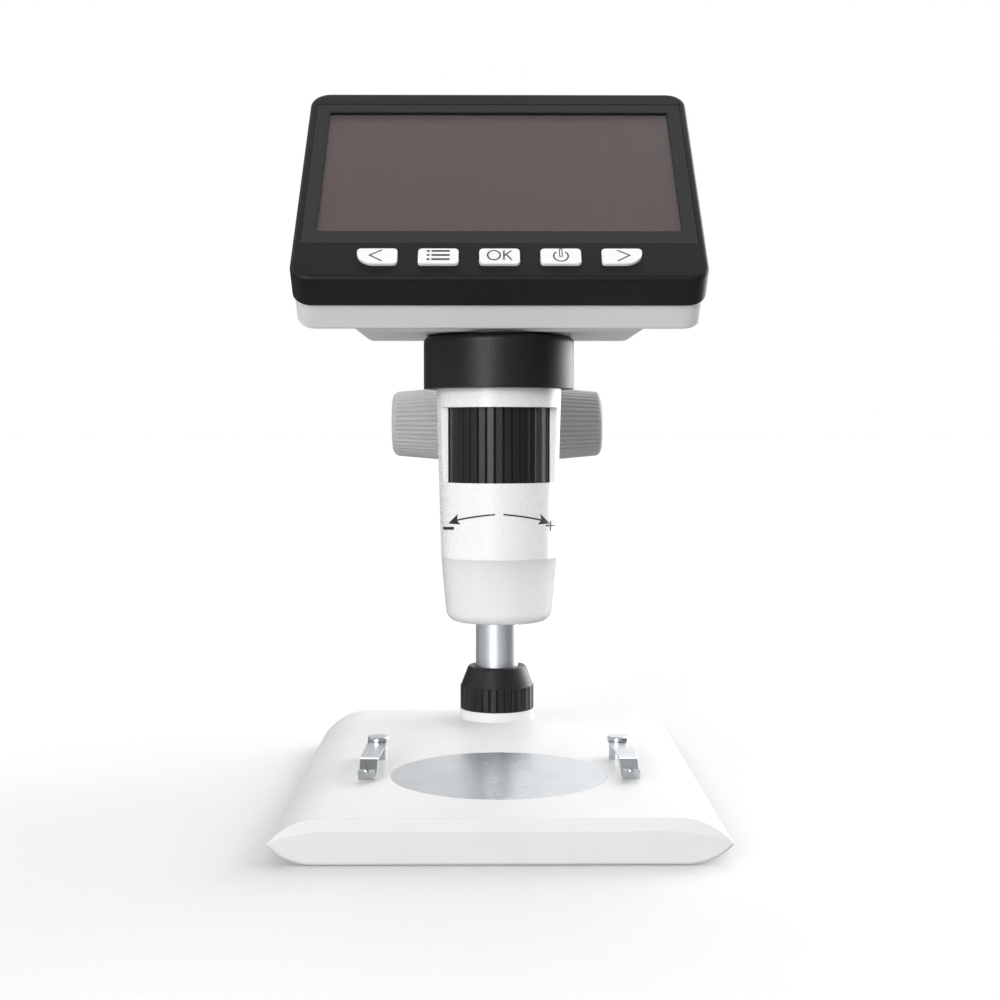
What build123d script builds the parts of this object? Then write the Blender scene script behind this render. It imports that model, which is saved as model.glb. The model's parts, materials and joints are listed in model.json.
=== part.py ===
"""Digital microscope with a fixed-angle screen head on a focusing column stand.

Frame: +Z up, +X to the right of someone facing the screen, +Y away from them.
The origin is on the table, under the centre of the base. Millimetres.
"""

from build123d import *
from math import acos, cos, pi, radians, sin, sqrt, tan
import os

os.makedirs("parts", exist_ok=True)

# ---------------------------------------------------------------- driving sizes
# Shared clearances
running_clearance = 0.05      # radial, between a shaft and its bore
slip_gap = 0.1                # between faces that turn past each other
drop_in_gap = 0.15            # round a piece that drops into a recess

# Base
base_width = 115.0
base_front_reach = 51.0       # optical axis to the front edge
base_rear_reach = 15.0        # column axis to the rear edge
column_reach = 89.0           # optical axis to column axis
base_height = 10.3            # underside to top face
base_tip_height = 4.0         # underside to the thin side edges
side_curve_above = 13.5       # width of the curve from the top face to a side edge
side_curve_below = 11.5
side_edge_round = 0.8
rear_corner_radius = 17.0
rim_round = 3.0               # front and rear edges of the top face
roof_thickness = 2.2
front_wall = 8.0
side_wall = 14.0
rear_wall = 4.5
pocket_corner_radius = 8.0
cover_ledge = 1.5             # what the bottom cover rests on
cover_thickness = 2.0
foot_radius = 6.0
foot_recess = 0.8
foot_standout = 1.2
foot_inset = 14.0             # foot centre to the edge of the bottom cover, front and rear
foot_side_inset = 9.0
weight_width = 56.0
weight_length = 84.0
weight_thickness = 5.0
base_screw_inset = 7.0        # screw to the side of the bottom cover
base_screw_spacing = 76.0
base_screw_radius = 1.0
base_screw_head_radius = 2.1
base_screw_head_height = 1.2
base_boss_radius = 3.2

# Stage
stage_radius = 29.8
stage_thickness = 1.0
clip_margin = 4.9             # stage edge to a clip's rivet
clip_rivet_y_offset = 21.5    # optical axis to the rivets
clip_splay = 5.3              # degrees outwards from straight ahead
clip_thickness = 0.5
clip_height = 4.75            # base top to the underside of the level strip
clip_level_length = 28.0      # rivet to the first bend
clip_toe_reach = 29.6
clip_tip_reach = 31.8
clip_tip_height = 3.4
clip_rear_radius = 2.95
clip_front_width = 4.8
rivet_shank_radius = 1.6
rivet_shoulder_radius = 2.6
rivet_head_radius = 3.1
rivet_head_height = 1.25

# Column, its socket and the lock nut
column_radius = 7.0
boss_radius = 12.2
boss_height = 3.1
socket_radius = 8.95
socket_flange_radius = 10.0
socket_flange_thickness = 2.8
socket_floor = 1.5
socket_standout = 9.0         # above the boss
slit_width = 1.2
slit_count = 4
nut_knurl_radius = 12.15
nut_knurl_height = 7.6
nut_cone_height = 6.4
nut_rim_radius = 9.65
nut_groove_depth = 0.45
nut_groove_count = 30
nut_mouth_clearance = 0.4
column_cap_height = 3.0
column_top_margin = 9.0       # last rack tooth to the column's top

# Holder ring, arm and focusing carriage
ring_bottom_z = 117.8
ring_height = 14.2
ring_radius = 20.5
ring_lip = 0.95               # inward, under the liner
ring_lip_height = 1.4
ring_edge_round = 1.6
arm_rise = 2.1                # arm's underside above the ring's
arm_thickness = 7.0
arm_width = 20.0
barrel_radius = 12.0
barrel_length = 35.0
barrel_bore_gap = 0.6
bush_wall = 1.5
bush_length = 7.5
housing_radius = 11.0
housing_half_width = 15.0
housing_cover_gap = 0.2
cover_screw_x = 11.0
cover_screw_offset = 7.0
cover_screw_radius = 1.0
cover_screw_head_radius = 1.9
cover_screw_length = 12.0

# Rack and pinion
module = 0.8
pinion_teeth = 18
pressure_angle = 20.0
gear_backlash = 0.15
dedendum_factor = 1.25
pinion_width = 10.0
pinion_cavity_gap = 0.7
rack_pitch_depth = 1.4        # column's surface to the rack's pitch line
travel_down = 28.0
travel_up = 40.0
rack_run_out = 10.0           # rack beyond the last place of the pinion's axis

# Knobs
shaft_radius = 2.5
washer_radius = 5.0
washer_thickness = 1.4
knob_inner_radius = 11.65
knob_outer_radius = 10.1
knob_length = 17.0
knob_rib_count = 44
knob_rib_depth = 0.45
knob_rim_round = 2.6
knob_cap_radius = 6.5
knob_cap_thickness = 1.2
shaft_end_inset = 3.0         # shaft's end to the knob's outer face

# Microscope tube
tube_length = 60.0
tube_top_radius = 17.1
tube_seam_radius = 15.8
liner_wall = 1.15
tube_bore_radius = 15.1
lower_bore_radius = 14.0
window_height = 20.2
window_rise = 20.5            # seam to the window's lower edge
window_depth = 6.4            # cut plane in front of the axis
focus_ring_radius = 14.9
focus_rib_depth = 0.45
focus_rib_count = 40
focus_ring_overlap = 0.85     # ring hidden above and below the window
barrel_outer_radius = 9.9
lens_travel = 3.0             # either way
nose_radius = 6.6
nose_flat = 5.8               # axis to the flats that keep the nose from turning
lens_radius = 4.8
diffuser_height = 17.6
diffuser_tip_radius = 14.2
diffuser_corner = 3.2
diffuser_wall = 1.4
diffuser_opening = 9.5
spigot_height = 3.0
spigot_wall = 1.0
guide_thickness = 3.0
led_board_thickness = 1.2
led_count = 8
led_radius = 1.5
led_height = 1.7
led_circle = 10.6
sensor_holder_thickness = 3.0
sensor_board_size = 19.0
sensor_board_thickness = 1.2
sensor_size = 8.0

# Neck between tube and head
neck_radius = 19.5
neck_gap = 0.45               # ring top to the head's underside
neck_bore_radius = 8.0
neck_spigot_length = 8.0
neck_screw_count = 4
neck_screw_circle = 11.5
neck_screw_radius = 1.0
neck_screw_length = 5.0

# Screen head
head_tilt = 45.0              # degrees, screen to table
head_width = 106.6
head_length = 82.5
head_corner = 5.5
bezel_depth = 9.0
bezel_edge_round = 1.2
front_plate = 2.2
head_wall = 2.0
rear_depth = 9.0
rear_inset = 0.6
rear_edge_round = 1.2
ring_front_gap = 0.35         # head's lowest corner in front of the holder ring
bulge_width = 77.0
bulge_reach = 29.6            # optical axis to the bulge's rear wall
bulge_lean = 12.0             # degrees, rear wall towards the screen
bulge_edge_round = 2.5
bulge_side_round = 3.5
glass_width = 102.5
glass_height = 62.2
glass_low_u = 14.6
glass_thickness = 1.1
view_width = 95.04
view_height = 53.86
view_low_u = 19.1
view_margin = 0.8
panel_border = 2.0            # panel beyond the visible picture
panel_thickness = 2.9
button_count = 5
button_pitch = 15.6
button_u = 8.0
button_width = 10.4
button_height = 6.1
button_corner = 1.1
button_sweep = 4.6            # large corner of the two outer buttons
button_proud = 0.8
button_travel = 0.25
button_flange = 0.8
board_thickness = 1.2
board_gap = 1.2               # round the main board
switch_size = 5.0
plunger_radius = 1.4
plunger_height = 0.7
head_boss_x = 45.0
head_boss_inset = 4.8
head_boss_radius = 2.3
head_screw_radius = 0.95
head_screw_head_radius = 1.9
head_screw_head_height = 1.4
pillar_radius = 3.1
battery_width = 60.0
battery_thickness = 6.0
battery_top_gap = 4.0         # battery to the upper end of the bulge's rear wall
usb_width = 7.6
usb_height = 2.6
usb_depth = 5.6
usb_u = 30.0
card_width = 13.0
card_height = 1.7
card_depth = 14.0
card_u = 52.0
socket_wall = 0.35
flex_width = 8.0
flex_thickness = 0.3
connector_height = 1.2
connector_depth = 3.0

# ------------------------------------------------------------- derived places
base_depth = base_front_reach + column_reach + base_rear_reach
optical_y = base_front_reach - base_depth / 2
column_y = optical_y + column_reach
underside_z = foot_standout
base_top_z = underside_z + base_height
tip_z = underside_z + base_tip_height
roof_z = base_top_z - roof_thickness
cover_top_z = underside_z + cover_thickness

optical_axis = Axis((0, optical_y, 0), (0, 0, 1))
column_axis = Axis((0, column_y, 0), (0, 0, 1))
optical_section = Plane(origin=(0, optical_y, 0), x_dir=(1, 0, 0), z_dir=(0, -1, 0))
column_section = Plane(origin=(0, column_y, 0), x_dir=(1, 0, 0), z_dir=(0, -1, 0))


def level(y, z):
    """Horizontal plane whose origin is at (0, y, z)."""
    return Plane(origin=(0, y, z))


def save(builder, label):
    """Label a finished piece and write its STEP file."""
    builder.part.label = label
    export_step(builder.part, f"parts/{label}.step")


def ribbed_outline(root_radius, tip_radius, count, land=0.5):
    """Points of a closed outline with flat-topped ribs, all worked out from the count."""
    step = 2 * pi / count
    points = []
    for index in range(count):
        middle = index * step
        for radius, share in (
            (root_radius, -0.5),
            (tip_radius, -land / 2),
            (tip_radius, land / 2),
        ):
            angle = middle + share * step
            points.append((radius * cos(angle), radius * sin(angle)))
    return points


# ------------------------------------------------------------------------ base
pocket_front_y = -base_depth / 2 + front_wall
pocket_rear_y = base_depth / 2 - rear_wall
pocket_width = base_width - 2 * side_wall
pocket_length = pocket_rear_y - pocket_front_y
pocket_y = (pocket_rear_y + pocket_front_y) / 2
cover_width = pocket_width + 2 * cover_ledge
cover_length = pocket_length + 2 * cover_ledge
foot_x = cover_width / 2 - foot_side_inset
foot_y = cover_length / 2 - foot_inset
base_screw_x = cover_width / 2 - base_screw_inset
clip_x = stage_radius + clip_margin
clip_y = optical_y + clip_rivet_y_offset
weight_y = optical_y + column_reach / 4

with BuildPart() as base_shell:
    # A lens-shaped section, flat above and below, runs from front to rear.
    with BuildSketch(Plane.XZ):
        with BuildLine():
            top_flat = base_width / 2 - side_curve_above
            bottom_flat = base_width / 2 - side_curve_below
            Line((0, base_top_z), (top_flat, base_top_z))
            TangentArc((top_flat, base_top_z), (base_width / 2, tip_z), tangent=(1, 0))
            TangentArc((bottom_flat, underside_z), (base_width / 2, tip_z), tangent=(1, 0))
            Line((bottom_flat, underside_z), (0, underside_z))
            Line((0, underside_z), (0, base_top_z))
        make_face()
        mirror(about=Plane.YZ)
    extrude(amount=base_depth / 2, both=True)
    # In plan, the rear corners are round; the outline stays clear of the side edges.
    with BuildSketch() as base_plan:
        Rectangle(base_width + 2 * side_edge_round, base_depth)
        fillet(base_plan.vertices().group_by(Axis.Y)[-1], rear_corner_radius)
    extrude(amount=base_top_z + rim_round, mode=Mode.INTERSECT)
    # Round the rim of the top face at the front and the rear, then the thin side edges.
    upper_edges = base_shell.edges().filter_by(lambda edge: edge.center().Z > tip_z + rim_round / 3)
    front_rim = upper_edges.group_by(Axis.Y)[0]
    rear_rim = upper_edges.filter_by(
        lambda edge: edge.center().Y > base_depth / 2 - rear_corner_radius
        and edge.center().Z > (tip_z + base_top_z) / 2
    )
    fillet(front_rim + rear_rim, rim_round)
    side_edges = base_shell.edges().filter_by(
        lambda edge: abs(edge.center().X) > base_width / 2 - side_edge_round / 2
    )
    fillet(side_edges, side_edge_round)
    # Pocket from below, with a ledge for the bottom cover.
    with BuildSketch(level(pocket_y, underside_z)):
        RectangleRounded(pocket_width, pocket_length, pocket_corner_radius)
    extrude(amount=roof_z - underside_z, mode=Mode.SUBTRACT)
    with BuildSketch(level(pocket_y, underside_z)):
        RectangleRounded(cover_width, cover_length, pocket_corner_radius + cover_ledge)
    extrude(amount=cover_thickness, mode=Mode.SUBTRACT)
    # Screw bosses down to the cover.
    with BuildSketch(level(pocket_y, cover_top_z)):
        with GridLocations(2 * base_screw_x, base_screw_spacing, 2, 2):
            Circle(base_boss_radius)
            Circle(base_screw_radius, mode=Mode.SUBTRACT)
    extrude(amount=roof_z - cover_top_z)
    # Boss round the column's socket, and its bore.
    with BuildSketch(level(column_y, roof_z)):
        Circle(boss_radius)
    extrude(amount=base_top_z + boss_height - roof_z)
    with BuildSketch(level(column_y, underside_z)):
        Circle(socket_radius)
    extrude(amount=base_height + boss_height, mode=Mode.SUBTRACT)
    # Recess for the stage disc, and the rivets' holes.
    with BuildSketch(level(optical_y, base_top_z - stage_thickness)):
        Circle(stage_radius + running_clearance)
    extrude(amount=stage_thickness, mode=Mode.SUBTRACT)
    with BuildSketch(level(clip_y, roof_z)):
        with GridLocations(2 * clip_x, 0, 2, 1):
            Circle(rivet_shank_radius)
    extrude(amount=roof_thickness, mode=Mode.SUBTRACT)
save(base_shell, "base_shell")

with BuildPart() as base_cover:
    with BuildSketch(level(pocket_y, underside_z)):
        RectangleRounded(
            cover_width - 2 * drop_in_gap,
            cover_length - 2 * drop_in_gap,
            pocket_corner_radius + cover_ledge - drop_in_gap,
        )
        with GridLocations(2 * base_screw_x, base_screw_spacing, 2, 2):
            Circle(base_screw_radius, mode=Mode.SUBTRACT)
    extrude(amount=cover_thickness)
    with BuildSketch(level(pocket_y, underside_z)):
        with GridLocations(2 * foot_x, 2 * foot_y, 2, 2):
            Circle(foot_radius)
    extrude(amount=foot_recess, mode=Mode.SUBTRACT)
    with BuildSketch(level(pocket_y, underside_z)):
        with GridLocations(2 * base_screw_x, base_screw_spacing, 2, 2):
            Circle(base_screw_head_radius + slip_gap)
    extrude(amount=base_screw_head_height, mode=Mode.SUBTRACT)
save(base_cover, "base_cover")

with BuildPart() as base_feet:
    with BuildSketch(level(pocket_y, 0)):
        with GridLocations(2 * foot_x, 2 * foot_y, 2, 2):
            Circle(foot_radius)
    extrude(amount=foot_standout + foot_recess)
    chamfer(base_feet.faces().group_by(Axis.Z)[0].edges(), foot_standout / 4)
save(base_feet, "base_feet")

with BuildPart() as base_screws:
    with BuildSketch(level(pocket_y, underside_z)):
        with GridLocations(2 * base_screw_x, base_screw_spacing, 2, 2):
            Circle(base_screw_head_radius)
    extrude(amount=base_screw_head_height)
    with BuildSketch(level(pocket_y, underside_z + base_screw_head_height)):
        with GridLocations(2 * base_screw_x, base_screw_spacing, 2, 2):
            Circle(base_screw_radius)
    extrude(amount=roof_z - underside_z - 2 * base_screw_head_height)
save(base_screws, "base_screws")

with BuildPart() as base_weight:
    with BuildSketch(level(weight_y, cover_top_z)):
        RectangleRounded(weight_width, weight_length, pocket_corner_radius)
    extrude(amount=weight_thickness)
save(base_weight, "base_weight")

with BuildPart() as stage_disc:
    with BuildSketch(level(optical_y, base_top_z - stage_thickness)):
        Circle(stage_radius)
    extrude(amount=stage_thickness)
save(stage_disc, "stage_disc")

# ----------------------------------------------------------------- stage clips
clip_bottom_z = base_top_z + clip_height
clip_middle_z = clip_bottom_z + clip_thickness / 2
clip_toe_z = base_top_z + slip_gap + clip_thickness / 2
rivet_head_z = clip_bottom_z + clip_thickness + slip_gap
rivet_top_z = rivet_head_z + rivet_head_height

with BuildPart() as clip_rivets:
    with BuildSketch(level(clip_y, roof_z)):
        with GridLocations(2 * clip_x, 0, 2, 1):
            Circle(rivet_shank_radius)
    extrude(amount=rivet_head_z - roof_z)
    with BuildSketch(level(clip_y, base_top_z)):
        with GridLocations(2 * clip_x, 0, 2, 1):
            Circle(rivet_shoulder_radius)
    extrude(amount=clip_height - slip_gap)
    with BuildSketch(level(clip_y, rivet_head_z)):
        with GridLocations(2 * clip_x, 0, 2, 1):
            Circle(rivet_head_radius)
    extrude(amount=rivet_head_height)
    chamfer(clip_rivets.faces().group_by(Axis.Z)[-1].edges(), rivet_head_height / 4)
save(clip_rivets, "clip_rivets")


def stage_clip(side):
    """Spring strip: level from its rivet, a steep drop, a toe on the base and a raised lip."""
    ahead = Vector(side * sin(radians(clip_splay)), -cos(radians(clip_splay)), 0)
    rivet = (side * clip_x, clip_y, 0)
    profile_plane = Plane(origin=rivet, x_dir=ahead, z_dir=ahead.cross(Vector(0, 0, 1)))
    plan_plane = Plane(origin=rivet, x_dir=ahead, z_dir=(0, 0, 1))
    with BuildPart() as clip:
        with BuildSketch(profile_plane):
            with BuildLine():
                FilletPolyline(
                    (-clip_rear_radius, clip_middle_z),
                    (clip_level_length, clip_middle_z),
                    (clip_toe_reach, clip_toe_z),
                    (clip_tip_reach, base_top_z + clip_tip_height),
                    radius=2 * clip_thickness / 1.6,
                )
            trace(line_width=clip_thickness)
        extrude(amount=clip_rear_radius, both=True)
        with BuildSketch(plan_plane):
            with BuildLine():
                rear = ThreePointArc(
                    (0, clip_rear_radius), (-clip_rear_radius, 0), (0, -clip_rear_radius)
                )
                front_x = clip_tip_reach + 2 * clip_thickness
                Polyline(
                    rear @ 1,
                    (front_x, -clip_front_width / 2),
                    (front_x, clip_front_width / 2),
                    rear @ 0,
                )
            make_face()
            Circle(rivet_shank_radius + running_clearance, mode=Mode.SUBTRACT)
        extrude(amount=rivet_top_z, mode=Mode.INTERSECT)
    return clip


for side, label in ((-1, "clip_left"), (1, "clip_right")):
    save(stage_clip(side), label)

# ------------------------------------------------- column socket and lock nut
socket_bore = column_radius + running_clearance
socket_bottom_z = roof_z - socket_flange_thickness
socket_floor_z = socket_bottom_z + socket_floor
boss_top_z = base_top_z + boss_height
socket_top_z = boss_top_z + socket_standout

with BuildPart() as column_socket:
    with BuildSketch(column_section):
        with BuildLine():
            Polyline(
                (0, socket_bottom_z),
                (socket_flange_radius, socket_bottom_z),
                (socket_flange_radius, roof_z),
                (socket_radius, roof_z),
                (socket_radius, socket_top_z - (socket_radius - socket_bore) / 2),
                ((socket_radius + socket_bore) / 2, socket_top_z),
                (socket_bore, socket_top_z),
                (socket_bore, socket_floor_z),
                (0, socket_floor_z),
                close=True,
            )
        make_face()
    revolve(axis=column_axis)
    # Slits let the nut's cone close the fingers on the column.
    with BuildSketch(level(column_y, boss_top_z + slit_width)):
        with PolarLocations(0, slit_count // 2, angular_range=180):
            Rectangle(4 * socket_radius, slit_width)
    extrude(amount=socket_standout, mode=Mode.SUBTRACT)
save(column_socket, "column_socket")

nut_bottom_z = boss_top_z + slip_gap
nut_knurl_top_z = nut_bottom_z + nut_knurl_height
nut_top_z = nut_knurl_top_z + nut_cone_height
nut_mouth = column_radius + nut_mouth_clearance
nut_bore = socket_radius + running_clearance

with BuildPart() as lock_nut:
    with BuildSketch(level(column_y, nut_bottom_z)):
        Polygon(
            *ribbed_outline(
                nut_knurl_radius - nut_groove_depth, nut_knurl_radius, nut_groove_count, 0.66
            ),
            align=None,
        )
    extrude(amount=nut_knurl_height)
    with BuildSketch(column_section):
        with BuildLine():
            Polyline(
                (0, nut_knurl_top_z),
                (nut_knurl_radius - nut_groove_depth / 2, nut_knurl_top_z),
                (nut_rim_radius, nut_top_z - nut_groove_depth),
                (nut_rim_radius - nut_groove_depth, nut_top_z),
                (0, nut_top_z),
                close=True,
            )
        make_face()
    revolve(axis=column_axis)
    # Threaded bore below, inner cone above the socket's fingers, mouth for the column.
    with BuildSketch(column_section):
        with BuildLine():
            Polyline(
                (0, nut_bottom_z),
                (nut_bore, nut_bottom_z),
                (nut_bore, socket_top_z + slip_gap),
                (nut_mouth, socket_top_z + slip_gap + nut_bore - nut_mouth),
                (nut_mouth, nut_top_z),
                (0, nut_top_z),
                close=True,
            )
        make_face()
    revolve(axis=column_axis, mode=Mode.SUBTRACT)
save(lock_nut, "lock_nut")

# ------------------------------------------------------------ rack and pinion
arm_bottom_z = ring_bottom_z + arm_rise
pinion_z = arm_bottom_z - housing_cover_gap - housing_radius
pitch = pi * module
pitch_radius = module * pinion_teeth / 2
tip_radius = pitch_radius + module
root_radius = pitch_radius - dedendum_factor * module
base_circle = pitch_radius * cos(radians(pressure_angle))
tooth_thickness = pitch / 2 - gear_backlash / 2
rack_pitch_offset = column_radius - rack_pitch_depth
pinion_y = column_y - rack_pitch_offset - pitch_radius
rack_bottom_z = pinion_z - travel_down - rack_run_out
rack_top_z = pinion_z + travel_up + rack_run_out
column_bottom_z = socket_floor_z + running_clearance
column_top_z = rack_top_z + column_top_margin
pinion_section = Plane(origin=(0, pinion_y, pinion_z), x_dir=(0, 1, 0), z_dir=(1, 0, 0))
pinion_axis = Axis((0, pinion_y, pinion_z), (1, 0, 0))
cover_split = Plane(origin=(0, pinion_y, pinion_z), x_dir=(1, 0, 0), z_dir=(0, -1, 0))

with BuildPart() as column:
    with BuildSketch(level(column_y, column_bottom_z)):
        Circle(column_radius)
    extrude(amount=column_top_z - column_bottom_z)
    chamfer(column.edges().group_by(Axis.Z)[0], running_clearance * 10)
    # A flat along the front, at the height of the rack's tooth tips.
    with BuildSketch(Plane.YZ):
        tip_line_y = column_y - rack_pitch_offset - module
        with Locations((tip_line_y, (rack_bottom_z + rack_top_z) / 2)):
            Rectangle(
                column_radius, rack_top_z - rack_bottom_z, align=(Align.MAX, Align.CENTER)
            )
    extrude(amount=column_radius, both=True, mode=Mode.SUBTRACT)
    # Straight-sided gaps between the rack's teeth, one of them level with the pinion's axis.
    first_gap = -int((pinion_z - rack_bottom_z) / pitch - 0.5)
    last_gap = int((rack_top_z - pinion_z) / pitch - 0.5)
    slope = tan(radians(pressure_angle))
    gap_half = (pitch - tooth_thickness) / 2
    mouth_depth = 1.5 * module
    root_depth = dedendum_factor * module
    with BuildSketch(Plane.YZ):
        rack_places = [
            (column_y - rack_pitch_offset, pinion_z + index * pitch)
            for index in range(first_gap, last_gap + 1)
        ]
        with Locations(*rack_places):
            Polygon(
                (-mouth_depth, -gap_half - mouth_depth * slope),
                (root_depth, -gap_half + root_depth * slope),
                (root_depth, gap_half - root_depth * slope),
                (-mouth_depth, gap_half + mouth_depth * slope),
                align=None,
            )
    extrude(amount=column_radius, both=True, mode=Mode.SUBTRACT)
save(column, "column")

with BuildPart() as column_cap:
    with BuildSketch(level(column_y, column_top_z)):
        Circle(column_radius)
    extrude(amount=column_cap_height)
    chamfer(column_cap.edges().group_by(Axis.Z)[-1], column_cap_height / 3)
save(column_cap, "column_cap")


def involute(radius, side):
    """Point of a tooth's flank at this radius; the tooth's middle is on the local x axis."""
    pressure = acos(base_circle / radius)
    pitch_pressure = radians(pressure_angle)
    half_angle = (
        tooth_thickness / (2 * pitch_radius)
        + (tan(pitch_pressure) - pitch_pressure)
        - (tan(pressure) - pressure)
    )
    return (radius * cos(side * half_angle), radius * sin(side * half_angle))


with BuildPart() as pinion_gear:
    with BuildSketch(pinion_section.offset(-pinion_width / 2)):
        Circle(root_radius)
        flank_steps = 4
        flank_radii = [
            base_circle + (tip_radius - base_circle) * step / flank_steps
            for step in range(flank_steps + 1)
        ]
        root_share = (root_radius - module / 4) / base_circle
        with BuildSketch(mode=Mode.PRIVATE) as tooth:
            with BuildLine():
                upper = Spline(*[involute(radius, 1) for radius in flank_radii])
                lower = Spline(*[involute(radius, -1) for radius in flank_radii])
                Line(upper @ 1, lower @ 1)
                upper_root = (upper @ 0) * root_share
                lower_root = (lower @ 0) * root_share
                Line(upper @ 0, upper_root)
                Line(lower @ 0, lower_root)
                Line(upper_root, lower_root)
            make_face()
        with PolarLocations(0, pinion_teeth):
            add(tooth.sketch)
        Circle(shaft_radius, mode=Mode.SUBTRACT)
    extrude(amount=pinion_width)
save(pinion_gear, "pinion_gear")

knob_start = housing_half_width + slip_gap + washer_thickness
knob_end = knob_start + knob_length

with BuildPart() as pinion_shaft:
    with BuildSketch(pinion_section):
        Circle(shaft_radius)
    extrude(amount=knob_end - shaft_end_inset, both=True)
save(pinion_shaft, "pinion_shaft")

with BuildPart() as shaft_washers:
    for side in (-1, 1):
        with BuildSketch(pinion_section.offset(side * (housing_half_width + slip_gap))):
            Circle(washer_radius)
            Circle(shaft_radius, mode=Mode.SUBTRACT)
        extrude(amount=side * washer_thickness)
save(shaft_washers, "shaft_washers")


def focus_knob(side):
    """Ribbed knob that narrows outwards, with a rounded rim and a recess for its cap."""
    root_share = 1 - knob_rib_depth / knob_inner_radius
    with BuildPart() as knob:
        for distance, radius in ((knob_start, knob_inner_radius), (knob_end, knob_outer_radius)):
            with BuildSketch(pinion_section.offset(side * distance)):
                Polygon(
                    *ribbed_outline(radius * root_share, radius, knob_rib_count, 0.45),
                    align=None,
                )
        loft(ruled=True)
        with BuildSketch(cover_split) as envelope:
            with BuildLine():
                start, end = side * knob_start, side * knob_end
                Polyline(
                    (start, 0),
                    (start, knob_inner_radius - knob_rib_depth),
                    (start + side * knob_rib_depth, knob_inner_radius + running_clearance),
                    (end, knob_outer_radius + running_clearance),
                    (end, 0),
                    close=True,
                )
            make_face()
            end_corners = envelope.vertices().filter_by(lambda v: abs(v.X) > knob_end - 0.01)
            fillet(end_corners.sort_by(Axis.Y)[-1], knob_rim_round)
        revolve(axis=pinion_axis, mode=Mode.INTERSECT)
        with BuildSketch(pinion_section.offset(side * knob_end)):
            Circle(knob_cap_radius)
        extrude(amount=-side * knob_cap_thickness, mode=Mode.SUBTRACT)
        with BuildSketch(pinion_section.offset(side * knob_start)):
            Circle(shaft_radius)
        extrude(amount=side * (knob_length - shaft_end_inset), mode=Mode.SUBTRACT)
    return knob


def knob_cap(side):
    """Disc that closes the knob's outer face."""
    with BuildPart() as cap:
        with BuildSketch(pinion_section.offset(side * (knob_end - knob_cap_thickness))):
            Circle(knob_cap_radius - running_clearance)
        extrude(amount=side * knob_cap_thickness)
    return cap


for side, name in ((-1, "left"), (1, "right")):
    save(focus_knob(side), f"knob_{name}")
    save(knob_cap(side), f"knob_cap_{name}")

# -------------------------------------------------- holder bracket and carriage
ring_top_z = ring_bottom_z + ring_height
liner_radius = tube_top_radius + running_clearance + liner_wall
ring_bore = liner_radius + running_clearance
ring_lip_top_z = ring_bottom_z + ring_lip_height
barrel_top_z = arm_bottom_z + arm_thickness
barrel_bottom_z = barrel_top_z - barrel_length
barrel_bore = column_radius + barrel_bore_gap
bush_radius = column_radius + running_clearance + bush_wall
cavity_radius = tip_radius + pinion_cavity_gap
cavity_half_width = pinion_width / 2 + pinion_cavity_gap
shaft_bore = shaft_radius + running_clearance
screw_grid = (2 * cover_screw_x, 2 * cover_screw_offset, 2, 2)

with BuildPart() as holder_bracket:
    # Barrel round the column.
    with BuildSketch(level(column_y, barrel_bottom_z)):
        Circle(barrel_radius)
    extrude(amount=barrel_length)
    # Rear half of the pinion's housing.
    with BuildSketch(pinion_section):
        Circle(housing_radius)
        Rectangle(column_y - pinion_y, 2 * housing_radius, align=(Align.MIN, Align.CENTER))
    extrude(amount=housing_half_width, both=True)
    split(bisect_by=cover_split, keep=Keep.BOTTOM)
    # Arm and ring.
    with BuildSketch(level(0, arm_bottom_z)):
        with Locations((0, optical_y)):
            Rectangle(arm_width, column_reach, align=(Align.CENTER, Align.MIN))
    extrude(amount=arm_thickness)
    with BuildSketch(level(optical_y, ring_bottom_z)):
        Circle(ring_radius)
    extrude(amount=ring_height)
    fillet(
        holder_bracket.edges().filter_by(GeomType.CIRCLE).group_by(Axis.Z)[-1], ring_edge_round
    )
    # Bores: ring, its lip, column and the two bush seats.
    with BuildSketch(level(optical_y, ring_lip_top_z)):
        Circle(ring_bore)
    extrude(amount=ring_height, mode=Mode.SUBTRACT)
    with BuildSketch(level(optical_y, ring_bottom_z)):
        Circle(ring_bore - ring_lip)
    extrude(amount=ring_lip_height, mode=Mode.SUBTRACT)
    with BuildSketch(level(column_y, barrel_bottom_z)):
        Circle(barrel_bore)
    extrude(amount=barrel_length, mode=Mode.SUBTRACT)
    for bush_z in (barrel_bottom_z, barrel_top_z - bush_length):
        with BuildSketch(level(column_y, bush_z)):
            Circle(bush_radius)
        extrude(amount=bush_length, mode=Mode.SUBTRACT)
    # Room for the pinion and its shaft.
    with BuildSketch(pinion_section):
        Circle(cavity_radius)
    extrude(amount=cavity_half_width, both=True, mode=Mode.SUBTRACT)
    with BuildSketch(pinion_section):
        Circle(shaft_bore)
    extrude(amount=housing_half_width, both=True, mode=Mode.SUBTRACT)
    with BuildSketch(cover_split):
        with GridLocations(*screw_grid):
            Circle(cover_screw_radius)
    extrude(amount=-cover_screw_length / 2, mode=Mode.SUBTRACT)
save(holder_bracket, "holder_bracket")

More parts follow.
